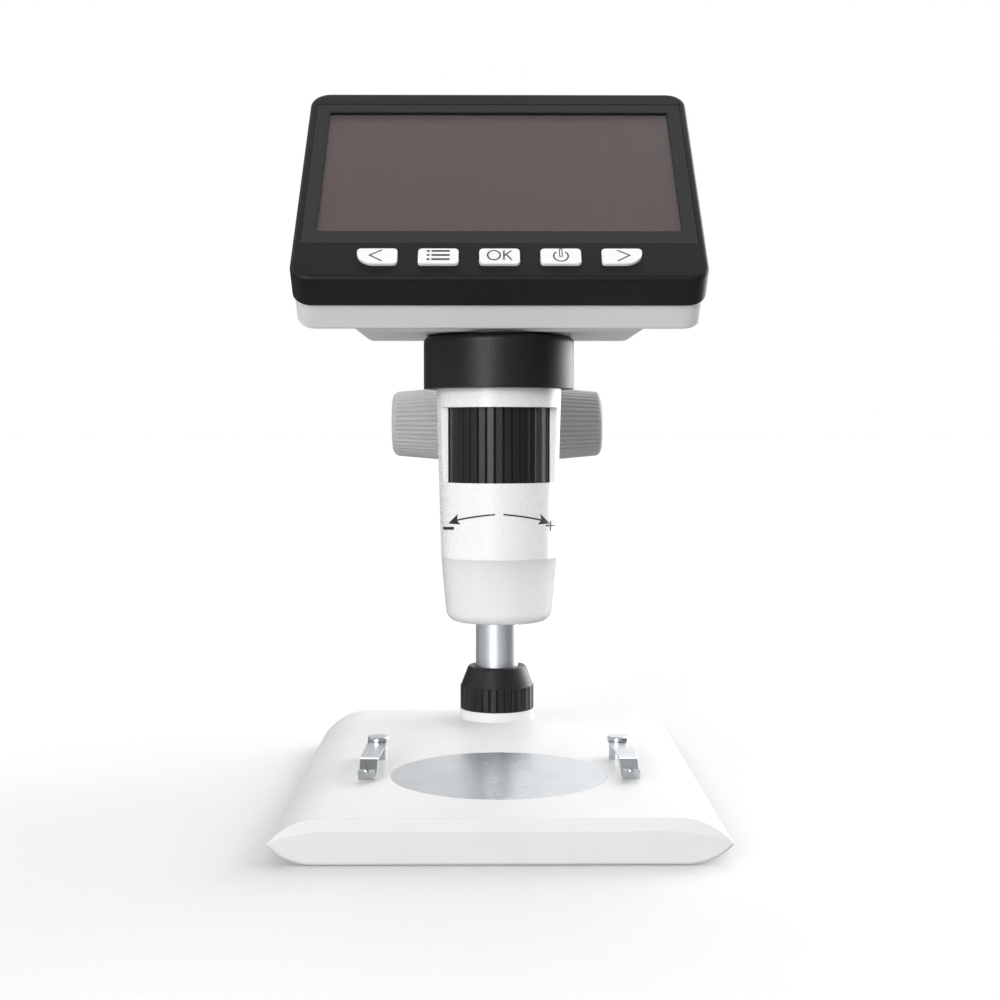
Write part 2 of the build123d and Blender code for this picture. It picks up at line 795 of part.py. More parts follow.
with BuildPart() as carriage_cover:
    with BuildSketch(pinion_section):
        Circle(housing_radius)
    extrude(amount=housing_half_width, both=True)
    split(bisect_by=cover_split, keep=Keep.TOP)
    with BuildSketch(pinion_section):
        Circle(cavity_radius)
    extrude(amount=cavity_half_width, both=True, mode=Mode.SUBTRACT)
    with BuildSketch(pinion_section):
        Circle(shaft_bore)
    extrude(amount=housing_half_width, both=True, mode=Mode.SUBTRACT)
    with BuildSketch(cover_split):
        with GridLocations(*screw_grid):
            Circle(cover_screw_radius)
    extrude(amount=housing_radius, mode=Mode.SUBTRACT)
    with BuildSketch(cover_split.offset(cover_screw_length / 2)):
        with GridLocations(*screw_grid):
            Circle(cover_screw_head_radius + slip_gap)
    extrude(amount=housing_radius, mode=Mode.SUBTRACT)
save(carriage_cover, "carriage_cover")

with BuildPart() as cover_screws:
    with BuildSketch(cover_split.offset(cover_screw_length / 2)):
        with GridLocations(*screw_grid):
            Circle(cover_screw_radius)
    extrude(amount=-cover_screw_length)
    with BuildSketch(cover_split.offset(cover_screw_length / 2)):
        with GridLocations(*screw_grid):
            Circle(cover_screw_head_radius)
    extrude(amount=cover_screw_radius)
save(cover_screws, "cover_screws")

bush_places = (
    ("guide_bush_lower", barrel_bottom_z),
    ("guide_bush_upper", barrel_top_z - bush_length),
)
for label, bush_z in bush_places:
    with BuildPart() as guide_bush:
        with BuildSketch(level(column_y, bush_z)):
            Circle(bush_radius)
            Circle(column_radius + running_clearance, mode=Mode.SUBTRACT)
        extrude(amount=bush_length)
    save(guide_bush, label)

with BuildPart() as grip_liner:
    with BuildSketch(level(optical_y, ring_lip_top_z + running_clearance)):
        Circle(liner_radius)
        Circle(tube_top_radius + running_clearance, mode=Mode.SUBTRACT)
    extrude(amount=ring_top_z - ring_lip_top_z - running_clearance - slip_gap)
save(grip_liner, "grip_liner")

# ------------------------------------------------------------- microscope tube
tube_top_z = ring_top_z
seam_z = tube_top_z - tube_length
window_bottom_z = seam_z + window_rise
window_top_z = window_bottom_z + window_height
ledge_z = window_bottom_z - focus_ring_overlap - slip_gap
ring_seat_top_z = window_top_z + focus_ring_overlap + slip_gap
diffuser_bottom_z = seam_z - diffuser_height
spigot_top_z = seam_z + spigot_height

with BuildPart() as tube_shell:
    with BuildSketch(optical_section):
        with BuildLine():
            Polyline(
                (lower_bore_radius, seam_z),
                (tube_seam_radius, seam_z),
                (tube_top_radius, ring_bottom_z),
                (tube_top_radius, tube_top_z),
                (tube_bore_radius, tube_top_z),
                (tube_bore_radius, ledge_z),
                (lower_bore_radius, ledge_z),
                close=True,
            )
        make_face()
    revolve(axis=optical_axis)
    # A finger window at the front and another at the back bare the focus ring.
    for facing in (-1, 1):
        with BuildSketch(level(optical_y, window_bottom_z)):
            with Locations((0, facing * (window_depth + tube_top_radius))):
                Rectangle(2 * tube_top_radius, 2 * tube_top_radius)
        extrude(amount=window_height, mode=Mode.SUBTRACT)
save(tube_shell, "tube_shell")

with BuildPart() as diffuser_cap:
    with BuildSketch(optical_section) as diffuser_section:
        with BuildLine():
            Polyline(
                (tube_seam_radius, seam_z),
                (diffuser_tip_radius, diffuser_bottom_z),
                (diffuser_opening, diffuser_bottom_z),
                (diffuser_opening, diffuser_bottom_z + diffuser_wall),
                (diffuser_tip_radius - diffuser_wall, diffuser_bottom_z + diffuser_wall),
                (lower_bore_radius - spigot_wall, seam_z),
                (lower_bore_radius - spigot_wall, spigot_top_z),
                (lower_bore_radius, spigot_top_z),
                (lower_bore_radius, seam_z),
                close=True,
            )
        make_face()
        low_corners = diffuser_section.vertices().group_by(Axis.Y)
        fillet(low_corners[0].sort_by(Axis.X)[-1], diffuser_corner)
        chamfer(low_corners[1].sort_by(Axis.X)[-1], (diffuser_corner - diffuser_wall) / 2)
    revolve(axis=optical_axis)
save(diffuser_cap, "diffuser_cap")

with BuildPart() as focus_ring:
    with BuildSketch(level(optical_y, ledge_z + slip_gap)):
        Polygon(
            *ribbed_outline(
                focus_ring_radius - focus_rib_depth, focus_ring_radius, focus_rib_count, 0.72
            ),
            align=None,
        )
        Circle(barrel_outer_radius + running_clearance, mode=Mode.SUBTRACT)
    extrude(amount=window_height + 2 * focus_ring_overlap)
save(focus_ring, "focus_ring")

# The barrel's thread runs in the focus ring; its flatted nose slides in the guide.
led_board_bottom_z = spigot_top_z - led_board_thickness
lens_barrel_bottom_z = window_bottom_z - focus_ring_overlap + lens_travel
lens_barrel_top_z = window_top_z + focus_ring_overlap - lens_travel
lens_barrel_length = lens_barrel_top_z - lens_barrel_bottom_z
nose_bottom_z = led_board_bottom_z - lens_travel
nose_length = lens_barrel_bottom_z - nose_bottom_z

with BuildPart() as lens_barrel:
    with BuildSketch(level(optical_y, nose_bottom_z)):
        Circle(nose_radius)
        Rectangle(4 * nose_radius, 2 * nose_flat, mode=Mode.INTERSECT)
    extrude(amount=nose_length)
    with BuildSketch(level(optical_y, lens_barrel_bottom_z)):
        Circle(barrel_outer_radius)
    extrude(amount=lens_barrel_length)
    with BuildSketch(level(optical_y, nose_bottom_z)):
        Circle(lens_radius)
    extrude(amount=nose_length + lens_barrel_length, mode=Mode.SUBTRACT)
save(lens_barrel, "lens_barrel")

lens_edge = lens_radius / 3
lens_bulge = lens_radius / 6
with BuildPart() as lenses:
    for middle_z in (nose_bottom_z + lens_edge, lens_barrel_bottom_z + lens_edge):
        with BuildSketch(optical_section):
            with BuildLine():
                low = (lens_radius, middle_z - lens_edge / 2)
                high_z = middle_z + lens_edge / 2
                pole = (0, middle_z - lens_edge / 2 - lens_bulge)
                TangentArc(pole, low, tangent=(1, 0))
                Polyline(low, (lens_radius, high_z), (0, high_z), pole)
            make_face()
        revolve(axis=optical_axis)
save(lenses, "lenses")

with BuildPart() as lens_guide:
    with BuildSketch(level(optical_y, spigot_top_z)):
        Circle(lower_bore_radius)
        with BuildSketch(mode=Mode.PRIVATE) as guide_hole:
            Circle(nose_radius + running_clearance)
            Rectangle(
                4 * nose_radius, 2 * (nose_flat + running_clearance), mode=Mode.INTERSECT
            )
        add(guide_hole.sketch, mode=Mode.SUBTRACT)
    extrude(amount=guide_thickness)
save(lens_guide, "lens_guide")

with BuildPart() as led_board:
    with BuildSketch(level(optical_y, led_board_bottom_z)):
        Circle(lower_bore_radius - spigot_wall)
        Circle(nose_radius + slip_gap, mode=Mode.SUBTRACT)
    extrude(amount=led_board_thickness)
save(led_board, "led_board")

with BuildPart() as leds:
    with BuildSketch(level(optical_y, led_board_bottom_z - led_height)):
        with PolarLocations(led_circle, led_count):
            Circle(led_radius)
    extrude(amount=led_height)
    chamfer(leds.edges().group_by(Axis.Z)[0], led_radius / 2)
save(leds, "leds")

sensor_window = sensor_size + 2 * slip_gap
sensor_board_z = ring_seat_top_z + sensor_holder_thickness
with BuildPart() as sensor_holder:
    with BuildSketch(level(optical_y, ring_seat_top_z)):
        Circle(tube_bore_radius)
        Rectangle(sensor_window, sensor_window, mode=Mode.SUBTRACT)
    extrude(amount=sensor_holder_thickness)
save(sensor_holder, "sensor_holder")

with BuildPart() as sensor_board:
    with BuildSketch(level(optical_y, sensor_board_z)):
        RectangleRounded(sensor_board_size, sensor_board_size, sensor_board_thickness)
    extrude(amount=sensor_board_thickness)
save(sensor_board, "sensor_board")

with BuildPart() as image_sensor:
    with BuildSketch(level(optical_y, sensor_board_z)):
        Rectangle(sensor_size, sensor_size)
    extrude(amount=-sensor_board_thickness)
save(image_sensor, "image_sensor")

# ----------------------------------------------------------------- screen head
tilt = radians(head_tilt)
up_screen = Vector(0, cos(tilt), sin(tilt))
outward = Vector(0, -sin(tilt), cos(tilt))
shell_rear_depth = bezel_depth + rear_depth
head_underside_z = ring_top_z + neck_gap
# The rear shell's lowest corner stands just in front of the holder ring, above its top.
lowest_corner = Vector(0, optical_y - ring_radius - ring_front_gap, head_underside_z)
head_corner_point = lowest_corner - up_screen * rear_inset + outward * shell_rear_depth


def head_plane(depth, u=0.0, x=0.0):
    """Plane parallel to the screen, this far behind the front face; its y runs up the screen."""
    origin = head_corner_point - outward * depth + up_screen * u + Vector(x, 0, 0)
    return Plane(origin=origin, x_dir=(1, 0, 0), z_dir=outward)


head_axis = Axis(head_corner_point, outward)
head_middle_u = head_length / 2
boss_span_u = head_length - 2 * head_boss_inset
boss_grid = (2 * head_boss_x, boss_span_u, 2, 2)
view_middle_u = view_low_u + view_height / 2
board_front_depth = bezel_depth - board_thickness
button_xs = [(index - (button_count - 1) / 2) * button_pitch for index in range(button_count)]

with BuildPart() as neck:
    with BuildSketch(level(optical_y, ring_top_z + running_clearance)):
        Circle(neck_radius)
    extrude(amount=neck_gap - running_clearance)
    with BuildSketch(level(optical_y, ring_top_z + running_clearance)):
        Circle(tube_bore_radius)
    extrude(amount=-neck_spigot_length)
    with BuildSketch(level(optical_y, head_underside_z)):
        Circle(neck_bore_radius)
    extrude(amount=-neck_gap - neck_spigot_length, mode=Mode.SUBTRACT)
    with BuildSketch(level(optical_y, head_underside_z)):
        with PolarLocations(neck_screw_circle, neck_screw_count, start_angle=45):
            Circle(neck_screw_radius)
    extrude(amount=-neck_screw_length, mode=Mode.SUBTRACT)
save(neck, "neck")


def button_outline(index, grow=0.0):
    """Outline of one button; the outer two have one large lower corner each."""
    width, height = button_width + 2 * grow, button_height + 2 * grow
    with BuildSketch(mode=Mode.PRIVATE) as outline:
        Rectangle(width, height)
        lower = outline.vertices().group_by(Axis.Y)[0].sort_by(Axis.X)
        swept = {0: lower[0], button_count - 1: lower[-1]}.get(index)
        small = [vertex for vertex in outline.vertices() if vertex != swept]
        fillet(small, button_corner + grow)
        if swept is not None:
            fillet(outline.vertices().sort_by_distance(swept)[0], button_sweep + grow)
    return outline.sketch


button_caps = [button_outline(index) for index in range(button_count)]
button_holes = [button_outline(index, drop_in_gap) for index in range(button_count)]
button_flanges = [button_outline(index, button_flange) for index in range(button_count)]

with BuildPart() as bezel:
    with BuildSketch(head_plane(0, head_middle_u)):
        RectangleRounded(head_width, head_length, head_corner)
    extrude(amount=-bezel_depth)
    fillet(bezel.faces().sort_by(head_axis)[-1].edges(), bezel_edge_round)
    # Room behind the front plate.
    with BuildSketch(head_plane(front_plate, head_middle_u)):
        RectangleRounded(
            head_width - 2 * head_wall, head_length - 2 * head_wall, head_corner - head_wall
        )
    extrude(amount=front_plate - bezel_depth, mode=Mode.SUBTRACT)
    # Recess for the glass, and the window behind it.
    with BuildSketch(head_plane(0, glass_low_u + glass_height / 2)):
        Rectangle(glass_width + 2 * slip_gap, glass_height + 2 * slip_gap)
    extrude(amount=-glass_thickness - slip_gap, mode=Mode.SUBTRACT)
    with BuildSketch(head_plane(0, view_middle_u)):
        Rectangle(view_width + 2 * view_margin, view_height + 2 * view_margin)
    extrude(amount=-front_plate, mode=Mode.SUBTRACT)
    # Button holes.
    for x, hole in zip(button_xs, button_holes):
        with BuildSketch(head_plane(0, button_u, x)):
            add(hole)
        extrude(amount=-front_plate, mode=Mode.SUBTRACT)
    # Screw bosses, which also carry the main board.
    with BuildSketch(head_plane(front_plate, head_middle_u)):
        with GridLocations(*boss_grid):
            Circle(head_boss_radius)
            Circle(head_screw_radius, mode=Mode.SUBTRACT)
    extrude(amount=front_plate - board_front_depth)
save(bezel, "bezel")

with BuildPart() as cover_glass:
    with BuildSketch(head_plane(slip_gap, glass_low_u + glass_height / 2)):
        Rectangle(glass_width, glass_height)
    extrude(amount=-glass_thickness)
save(cover_glass, "cover_glass")

with BuildPart() as lcd_panel:
    with BuildSketch(head_plane(front_plate, view_middle_u)):
        Rectangle(view_width + 2 * panel_border, view_height + 2 * panel_border)
    extrude(amount=-panel_thickness)
save(lcd_panel, "lcd_panel")

button_names = ("button_back", "button_menu", "button_ok", "button_power", "button_next")
switch_top_depth = front_plate + button_flange + button_travel + 2 * running_clearance
for label, x, cap, flange in zip(button_names, button_xs, button_caps, button_flanges):
    with BuildPart() as button:
        with BuildSketch(head_plane(-button_proud, button_u, x)):
            add(cap)
        extrude(amount=-button_proud - front_plate - running_clearance)
        fillet(button.faces().sort_by(head_axis)[-1].edges(), button_proud / 2)
        with BuildSketch(head_plane(front_plate + running_clearance, button_u, x)):
            add(flange)
        extrude(amount=-button_flange)
    save(button, label)

with BuildPart() as main_board:
    with BuildSketch(head_plane(bezel_depth, head_middle_u)):
        RectangleRounded(
            head_width - 2 * (head_wall + board_gap),
            head_length - 2 * (head_wall + board_gap),
            board_gap,
        )
        with GridLocations(*boss_grid):
            Circle(head_screw_radius + slip_gap, mode=Mode.SUBTRACT)
    extrude(amount=board_thickness)
save(main_board, "main_board")

with BuildPart() as tact_switches:
    for x in button_xs:
        with BuildSketch(head_plane(board_front_depth, button_u, x)):
            Rectangle(switch_size, switch_size)
        extrude(amount=board_front_depth - switch_top_depth - plunger_height)
        with BuildSketch(head_plane(board_front_depth, button_u, x)):
            Circle(plunger_radius)
        extrude(amount=board_front_depth - switch_top_depth)
save(tact_switches, "tact_switches")

# The bulge behind the screen: a level underside, square to the tube, and a leaning rear wall.
lean = radians(bulge_lean)
bulge_depth_start = bezel_depth + head_wall
bulge_front_u = rear_inset + 2 * rear_edge_round
bulge_rear = Vector(0, optical_y + bulge_reach, head_underside_z)
wall_rise = Vector(0, -sin(lean), cos(lean))
wall_normal = Vector(0, cos(lean), sin(lean))
from_corner = bulge_rear - head_corner_point
wall_reach = (-shell_rear_depth - outward.dot(from_corner)) / outward.dot(wall_rise)
profile_reach = (-bulge_depth_start - outward.dot(from_corner)) / outward.dot(wall_rise)
underside_step = (head_underside_z - head_plane(0, bulge_front_u).origin.Z) / -outward.Z
bulge_corners = [
    head_plane(underside_step, bulge_front_u).origin,
    bulge_rear,
    bulge_rear + wall_rise * profile_reach,
    head_plane(bulge_depth_start, bulge_front_u).origin,
]
with BuildSketch(mode=Mode.PRIVATE) as bulge_outline:
    Polygon(*[(corner.Y, corner.Z) for corner in bulge_corners], align=None)
bulge_profile = bulge_outline.sketch

with BuildPart() as bulge:
    with BuildSketch(Plane.YZ):
        add(bulge_profile)
    extrude(amount=bulge_width / 2, both=True)
    rear_wall = bulge.faces().sort_by(Axis(bulge_rear, wall_normal))[-1]
    fillet(rear_wall.edges().filter_by(Axis((0, 0, 0), wall_rise)), bulge_side_round)
    rear_low_edges = bulge.edges().filter_by(
        lambda edge: abs(edge.center().Z - head_underside_z) < slip_gap
        and edge.center().Y > optical_y + bulge_reach - 2 * bulge_side_round
    )
    fillet(rear_low_edges, bulge_edge_round)

side_x = -(head_width / 2 - rear_inset)
with BuildPart() as rear_shell:
    shell_width = head_width - 2 * rear_inset
    shell_length = head_length - 2 * rear_inset
    with BuildSketch(head_plane(bezel_depth, head_middle_u)):
        RectangleRounded(shell_width, shell_length, head_corner - rear_inset)
    extrude(amount=-rear_depth)
    fillet(rear_shell.faces().sort_by(head_axis)[0].edges(), rear_edge_round)
    add(bulge.part)
    # Hollow inside.
    with BuildSketch(head_plane(bezel_depth, head_middle_u)):
        RectangleRounded(
            shell_width - 2 * head_wall,
            shell_length - 2 * head_wall,
            head_corner - rear_inset - head_wall,
        )
    extrude(amount=head_wall - rear_depth, mode=Mode.SUBTRACT)
    with BuildSketch(Plane.YZ):
        offset(bulge_profile, -head_wall, kind=Kind.INTERSECTION)
    extrude(amount=bulge_width / 2 - head_wall, both=True, mode=Mode.SUBTRACT)
    # Screw pillars up to the main board, with counterbores from behind.
    with BuildSketch(head_plane(bezel_depth, head_middle_u)):
        with GridLocations(*boss_grid):
            Circle(pillar_radius)
    extrude(amount=-rear_depth)
    with BuildSketch(head_plane(bezel_depth, head_middle_u)):
        with GridLocations(*boss_grid):
            Circle(head_screw_radius + slip_gap)
    extrude(amount=-rear_depth, mode=Mode.SUBTRACT)
    with BuildSketch(head_plane(bezel_depth + rear_depth / 2, head_middle_u)):
        with GridLocations(*boss_grid):
            Circle(head_screw_head_radius + slip_gap)
    extrude(amount=-rear_depth, mode=Mode.SUBTRACT)
    # Way in for the sensor's ribbon, and the neck's screw holes.
    with BuildSketch(level(optical_y, head_underside_z)):
        Circle(neck_bore_radius)
        with PolarLocations(neck_screw_circle, neck_screw_count, start_angle=45):
            Circle(neck_screw_radius)
    extrude(amount=head_wall, mode=Mode.SUBTRACT)
    # Notches for the two sockets on the left side.
    for u, width, height in ((usb_u, usb_width, usb_height), (card_u, card_width, card_height)):
        with BuildSketch(head_plane(bezel_depth, u, side_x)):
            Rectangle(4 * head_wall, width + 2 * slip_gap)
        extrude(amount=-height - slip_gap, mode=Mode.SUBTRACT)
save(rear_shell, "rear_shell")

floor_z = head_underside_z + head_wall
with BuildPart() as neck_screws:
    with BuildSketch(level(optical_y, floor_z)):
        with PolarLocations(neck_screw_circle, neck_screw_count, start_angle=45):
            Circle(neck_screw_radius)
    extrude(amount=-head_wall - neck_screw_length)
    with BuildSketch(level(optical_y, floor_z)):
        with PolarLocations(neck_screw_circle, neck_screw_count, start_angle=45):
            Circle(2 * neck_screw_radius)
    extrude(amount=neck_screw_radius)
save(neck_screws, "neck_screws")

with BuildPart() as head_screws:
    with BuildSketch(head_plane(bezel_depth + rear_depth / 2, head_middle_u)):
        with GridLocations(*boss_grid):
            Circle(head_screw_radius)
    extrude(amount=bezel_depth + rear_depth / 2 - 2 * front_plate)
    with BuildSketch(head_plane(bezel_depth + rear_depth / 2, head_middle_u)):
        with GridLocations(*boss_grid):
            Circle(head_screw_head_radius)
    extrude(amount=-head_screw_head_height)
save(head_screws, "head_screws")

# The battery stands on the bulge's floor, against its rear wall.
battery_start = (head_wall + slip_gap + (head_wall + battery_thickness) * sin(lean)) / cos(lean)
battery_length = wall_reach - battery_start - battery_top_gap
battery_foot = bulge_rear - wall_normal * head_wall + wall_rise * battery_start
battery_plane = Plane(origin=battery_foot, x_dir=(1, 0, 0), z_dir=-wall_normal)
with BuildPart() as battery:
    with BuildSketch(battery_plane):
        with Locations((0, battery_length / 2)):
            RectangleRounded(battery_width, battery_length, battery_thickness / 3)
    extrude(amount=battery_thickness)
save(battery, "battery")


def side_socket(u, width, height, depth):
    """Open metal box on the back of the main board, its mouth in the head's left side."""
    with BuildPart() as socket:
        with BuildSketch(head_plane(bezel_depth, u, side_x)):
            Rectangle(depth, width, align=(Align.MIN, Align.CENTER))
        extrude(amount=-height)
        with BuildSketch(head_plane(bezel_depth + socket_wall, u, side_x)):
            Rectangle(
                depth - socket_wall, width - 2 * socket_wall, align=(Align.MIN, Align.CENTER)
            )
        extrude(amount=2 * socket_wall - height, mode=Mode.SUBTRACT)
    return socket


with BuildPart() as usb_socket:
    add(side_socket(usb_u, usb_width, usb_height, usb_depth).part)
    with BuildSketch(head_plane(bezel_depth + usb_height / 3, usb_u, side_x + usb_depth)):
        Rectangle(2 * usb_depth / 3, usb_width / 2, align=(Align.MAX, Align.CENTER))
    extrude(amount=-usb_height / 4)
save(usb_socket, "usb_socket")
save(side_socket(card_u, card_width, card_height, card_depth), "card_socket")

# Ribbon from the sensor board to the main board, with a plug at each end.
flex_bottom_z = sensor_board_z + sensor_board_thickness
board_origin = head_plane(bezel_depth).origin
board_meets_axis_z = board_origin.Z + (optical_y - board_origin.Y) * tan(tilt)
board_axis_point = Vector(0, optical_y, board_meets_axis_z)
flex_slack = flex_width / 5
with BuildPart() as sensor_flex:
    with BuildSketch(Plane.YZ):
        with BuildLine():
            flex_top_z = board_meets_axis_z - connector_height
            flex_span = flex_top_z - flex_bottom_z
            Spline(
                (optical_y, flex_bottom_z),
                (optical_y + flex_slack, flex_bottom_z + flex_span / 4),
                (optical_y - flex_slack, flex_bottom_z + flex_span * 3 / 4),
                (optical_y, flex_top_z),
                tangents=((0, 1), (0, 1)),
            )
        trace(line_width=flex_thickness)
    extrude(amount=flex_width / 2, both=True)
    with BuildSketch(level(optical_y, flex_bottom_z)):
        Rectangle(flex_width + connector_height, connector_depth)
    extrude(amount=connector_height)
    with BuildSketch(Plane(origin=board_axis_point, x_dir=(1, 0, 0), z_dir=outward)):
        Rectangle(flex_width + connector_height, connector_depth)
    extrude(amount=-connector_height)
save(sensor_flex, "sensor_flex")
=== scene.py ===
"""Looks of the screen microscope: finishes, prints, stage clips, base, studio and camera."""

import json
from math import atan2, cos, pi, radians, sin

import bmesh
import bpy
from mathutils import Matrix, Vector
from mathutils.bvhtree import BVHTree


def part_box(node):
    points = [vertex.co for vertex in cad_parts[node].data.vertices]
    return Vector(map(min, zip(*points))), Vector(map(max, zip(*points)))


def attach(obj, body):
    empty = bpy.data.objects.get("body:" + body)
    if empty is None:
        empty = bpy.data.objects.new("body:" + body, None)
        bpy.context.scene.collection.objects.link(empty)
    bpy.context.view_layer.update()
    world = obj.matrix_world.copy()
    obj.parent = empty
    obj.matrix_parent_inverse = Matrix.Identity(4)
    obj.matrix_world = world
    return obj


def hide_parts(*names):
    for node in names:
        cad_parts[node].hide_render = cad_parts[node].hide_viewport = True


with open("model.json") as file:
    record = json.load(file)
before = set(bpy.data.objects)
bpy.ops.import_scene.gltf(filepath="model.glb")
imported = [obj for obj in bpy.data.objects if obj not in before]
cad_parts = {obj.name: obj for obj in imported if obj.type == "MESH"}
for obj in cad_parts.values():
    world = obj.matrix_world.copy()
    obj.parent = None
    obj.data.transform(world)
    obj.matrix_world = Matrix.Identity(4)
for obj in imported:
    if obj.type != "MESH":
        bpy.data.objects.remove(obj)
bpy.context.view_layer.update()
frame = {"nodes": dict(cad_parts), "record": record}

MM = 0.001  # sizes below are in millimetres unless they say otherwise
RIGHT = Vector((1, 0, 0))
UP = Vector((0, 0, 1))
HEAD_TILT = radians(45)
UP_SCREEN = Vector((0, cos(HEAD_TILT), sin(HEAD_TILT)))
OUTWARD = Vector((0, -sin(HEAD_TILT), cos(HEAD_TILT)))

# Size of the screen's picture, as in the CAD model
PICTURE_WIDTH = 95.04
PICTURE_HEIGHT = 53.86

# Prints
PRINT_SINK = 0.02  # how far a print reaches into its surface, and out of it
PRINT_LIFT = 0.03
PRINT_CELL = 0.6  # longest edge, so that a print follows a curved surface
PRINT_SPLITS = 4  # how many times its long edges are halved at most
MITRE_LIMIT = 0.4  # least share of a mitre, which keeps a sharp corner short
BUTTON_FACE_DEPTH = 1.0  # points this near to a button's front belong to its face
CLEAR_OF_TUBE = 10  # how far in front of the tube its prints are cast from
BUTTON_STROKE = 0.4
LIST_STROKE = 0.68
POWER_BAR_STROKE = 0.26
TUBE_STROKE = 0.42
MINUS_STROKE = 0.8
PLUS_STROKE = 0.45


def extent(node, direction):
    """Lowest and highest place of a CAD node along a direction, in metres."""
    places = [vertex.co.dot(direction) for vertex in frame["nodes"][node].data.vertices]
    return min(places), max(places)


def middle(node, direction):
    """Place of a CAD node's middle along a direction, in metres."""
    low, high = extent(node, direction)
    return (low + high) / 2


# ---------------------------------------------------------------------- shader nodes
class Finish:
    """A material: even values sit on its Principled shader, and nodes make what varies."""

    def __init__(self, name, even):
        self.material = bpy.data.materials.new(name)
        self.material.use_nodes = True
        self.tree = self.material.node_tree
        self.shader = self.tree.nodes["Principled BSDF"]
        self.place = self.add("ShaderNodeTexCoord").outputs["Object"]
        for socket, value in even.items():
            self.shader.inputs[socket].default_value = value

    def add(self, kind, inputs=None, **settings):
        """Add a node; an input is a value or another node's output."""
        node = self.tree.nodes.new(kind)
        for key, value in settings.items():
            setattr(node, key, value)
        for key, value in (inputs or {}).items():
            if isinstance(value, bpy.types.NodeSocket):
                self.tree.links.new(value, node.inputs[key])
            else:
                node.inputs[key].default_value = value
        return node

    def drive(self, socket, output):
        self.tree.links.new(output, self.shader.inputs[socket])

    def stretched(self, stretch):
        """Object coordinates, squeezed so that a pattern is drawn out along an axis."""
        factors = tuple(1 / share for share in stretch)
        return self.add(
            "ShaderNodeVectorMath", {0: self.place, 1: factors}, operation="MULTIPLY"
        ).outputs["Vector"]

    def noise(self, size, detail=2.0, stretch=(1, 1, 1)):
        """Noise with lumps of about this size in millimetres."""
        inputs = {"Vector": self.stretched(stretch), "Scale": 1 / (size * MM), "Detail": detail}
        return self.add("ShaderNodeTexNoise", inputs).outputs["Fac"]

    def cells(self, size):
        """Voronoi cells of about this size in millimetres, as distance from their middles."""
        inputs = {"Vector": self.place, "Scale": 1 / (size * MM)}
        return self.add("ShaderNodeTexVoronoi", inputs).outputs["Distance"]

    def ramp(self, value, *stops):
        """Colour ramp with (position, colour) stops."""
        node = self.add("ShaderNodeValToRGB", {"Fac": value})
        elements = node.color_ramp.elements
        while len(elements) < len(stops):
            elements.new(0.5)
        for element, (position, colour) in zip(elements, stops):
            element.position = position
            element.color = (*colour, 1)
        return node.outputs["Color"]

    def spread(self, value, low, high, start=0.3, end=0.7):
        """Map a value's middle range to low..high."""
        inputs = {
            "Value": value,
            "From Min": start,
            "From Max": end,
            "To Min": low,
            "To Max": high,
        }
        return self.add("ShaderNodeMapRange", inputs).outputs["Result"]

    def relief(self, height, depth, edge_round=0.0):
        """Bump of this depth in millimetres, over edges that catch the light as if rounded.

        With no depth the surface keeps its own shading.
        """
        if not depth:
            return
        inputs = {"Height": height, "Distance": depth * MM, "Strength": 1.0}
        if edge_round:
            bevel = self.add("ShaderNodeBevel", {"Radius": edge_round * MM}, samples=4)
            inputs["Normal"] = bevel.outputs["Normal"]
        self.drive("Normal", self.add("ShaderNodeBump", inputs).outputs["Normal"])


def grey(value, tint=(1, 1, 1)):
    """Colour of this brightness, with a tint."""
    return tuple(value * share for share in tint)


def plastic(name, colour, roughness, grain, depth, mottle=0.05, edge_round=0.25, **even):
    """Moulded plastic: fine grain, faint mottling and slightly uneven gloss."""
    even = {socket.replace("_", " "): value for socket, value in even.items()}
    finish = Finish(name, {"IOR": 1.49, **even})
    cloud = finish.noise(14, 3)
    darker = tuple(share * (1 - mottle) for share in colour)
    lighter = tuple(min(1, share * (1 + mottle)) for share in colour)
    finish.drive("Base Color", finish.ramp(cloud, (0.3, darker), (0.7, lighter)))
    fine = finish.noise(grain)
    finish.drive("Roughness", finish.spread(fine, roughness - 0.06, roughness + 0.06))
    finish.relief(fine, depth, edge_round)
    return finish.material


def metal(name, colour, roughness, marks, stretch, depth, edge_round=0.12, uneven=0.07):
    """Metal with fine marks of this width, drawn out along the tool's path by stretch."""
    finish = Finish(name, {"Metallic": 1.0})
    lines = finish.noise(marks, 3, stretch)
    cloud = finish.noise(9, 2)
    darker = tuple(share * 0.93 for share in colour)
    finish.drive("Base Color", finish.ramp(cloud, (0.35, darker), (0.65, colour)))
    finish.drive("Roughness", finish.spread(lines, roughness - uneven, roughness + uneven))
    finish.relief(lines, depth, edge_round)
    return finish.material


def frosted_cap(name):
    """Clear plastic with a frosted face, a little uneven as moulded, with painted shade at its
    edges.
    """
    finish = Finish(name, {"Transmission Weight": 0.5, "IOR": 1.4})
    # Painted shade: the base colour darkens towards the cap's left and right edges as they turn
    # from view
    rim = finish.add("ShaderNodeLayerWeight", {"Blend": 0.5}).outputs["Facing"]
    stops = ((0.55, (0.995, 0.997, 1.0)), (0.85, (0.8, 0.805, 0.81)), (0.97, (0.42, 0.425, 0.43)))
    finish.drive("Base Color", finish.ramp(rim, *stops))
    frost = finish.noise(0.35, 4)
    flow = finish.noise(5, 3, (1, 1, 0.35))
    finish.drive("Roughness", finish.spread(flow, 0.5, 0.64))
    finish.relief(frost, 0.02, 0.3)
    return finish.material


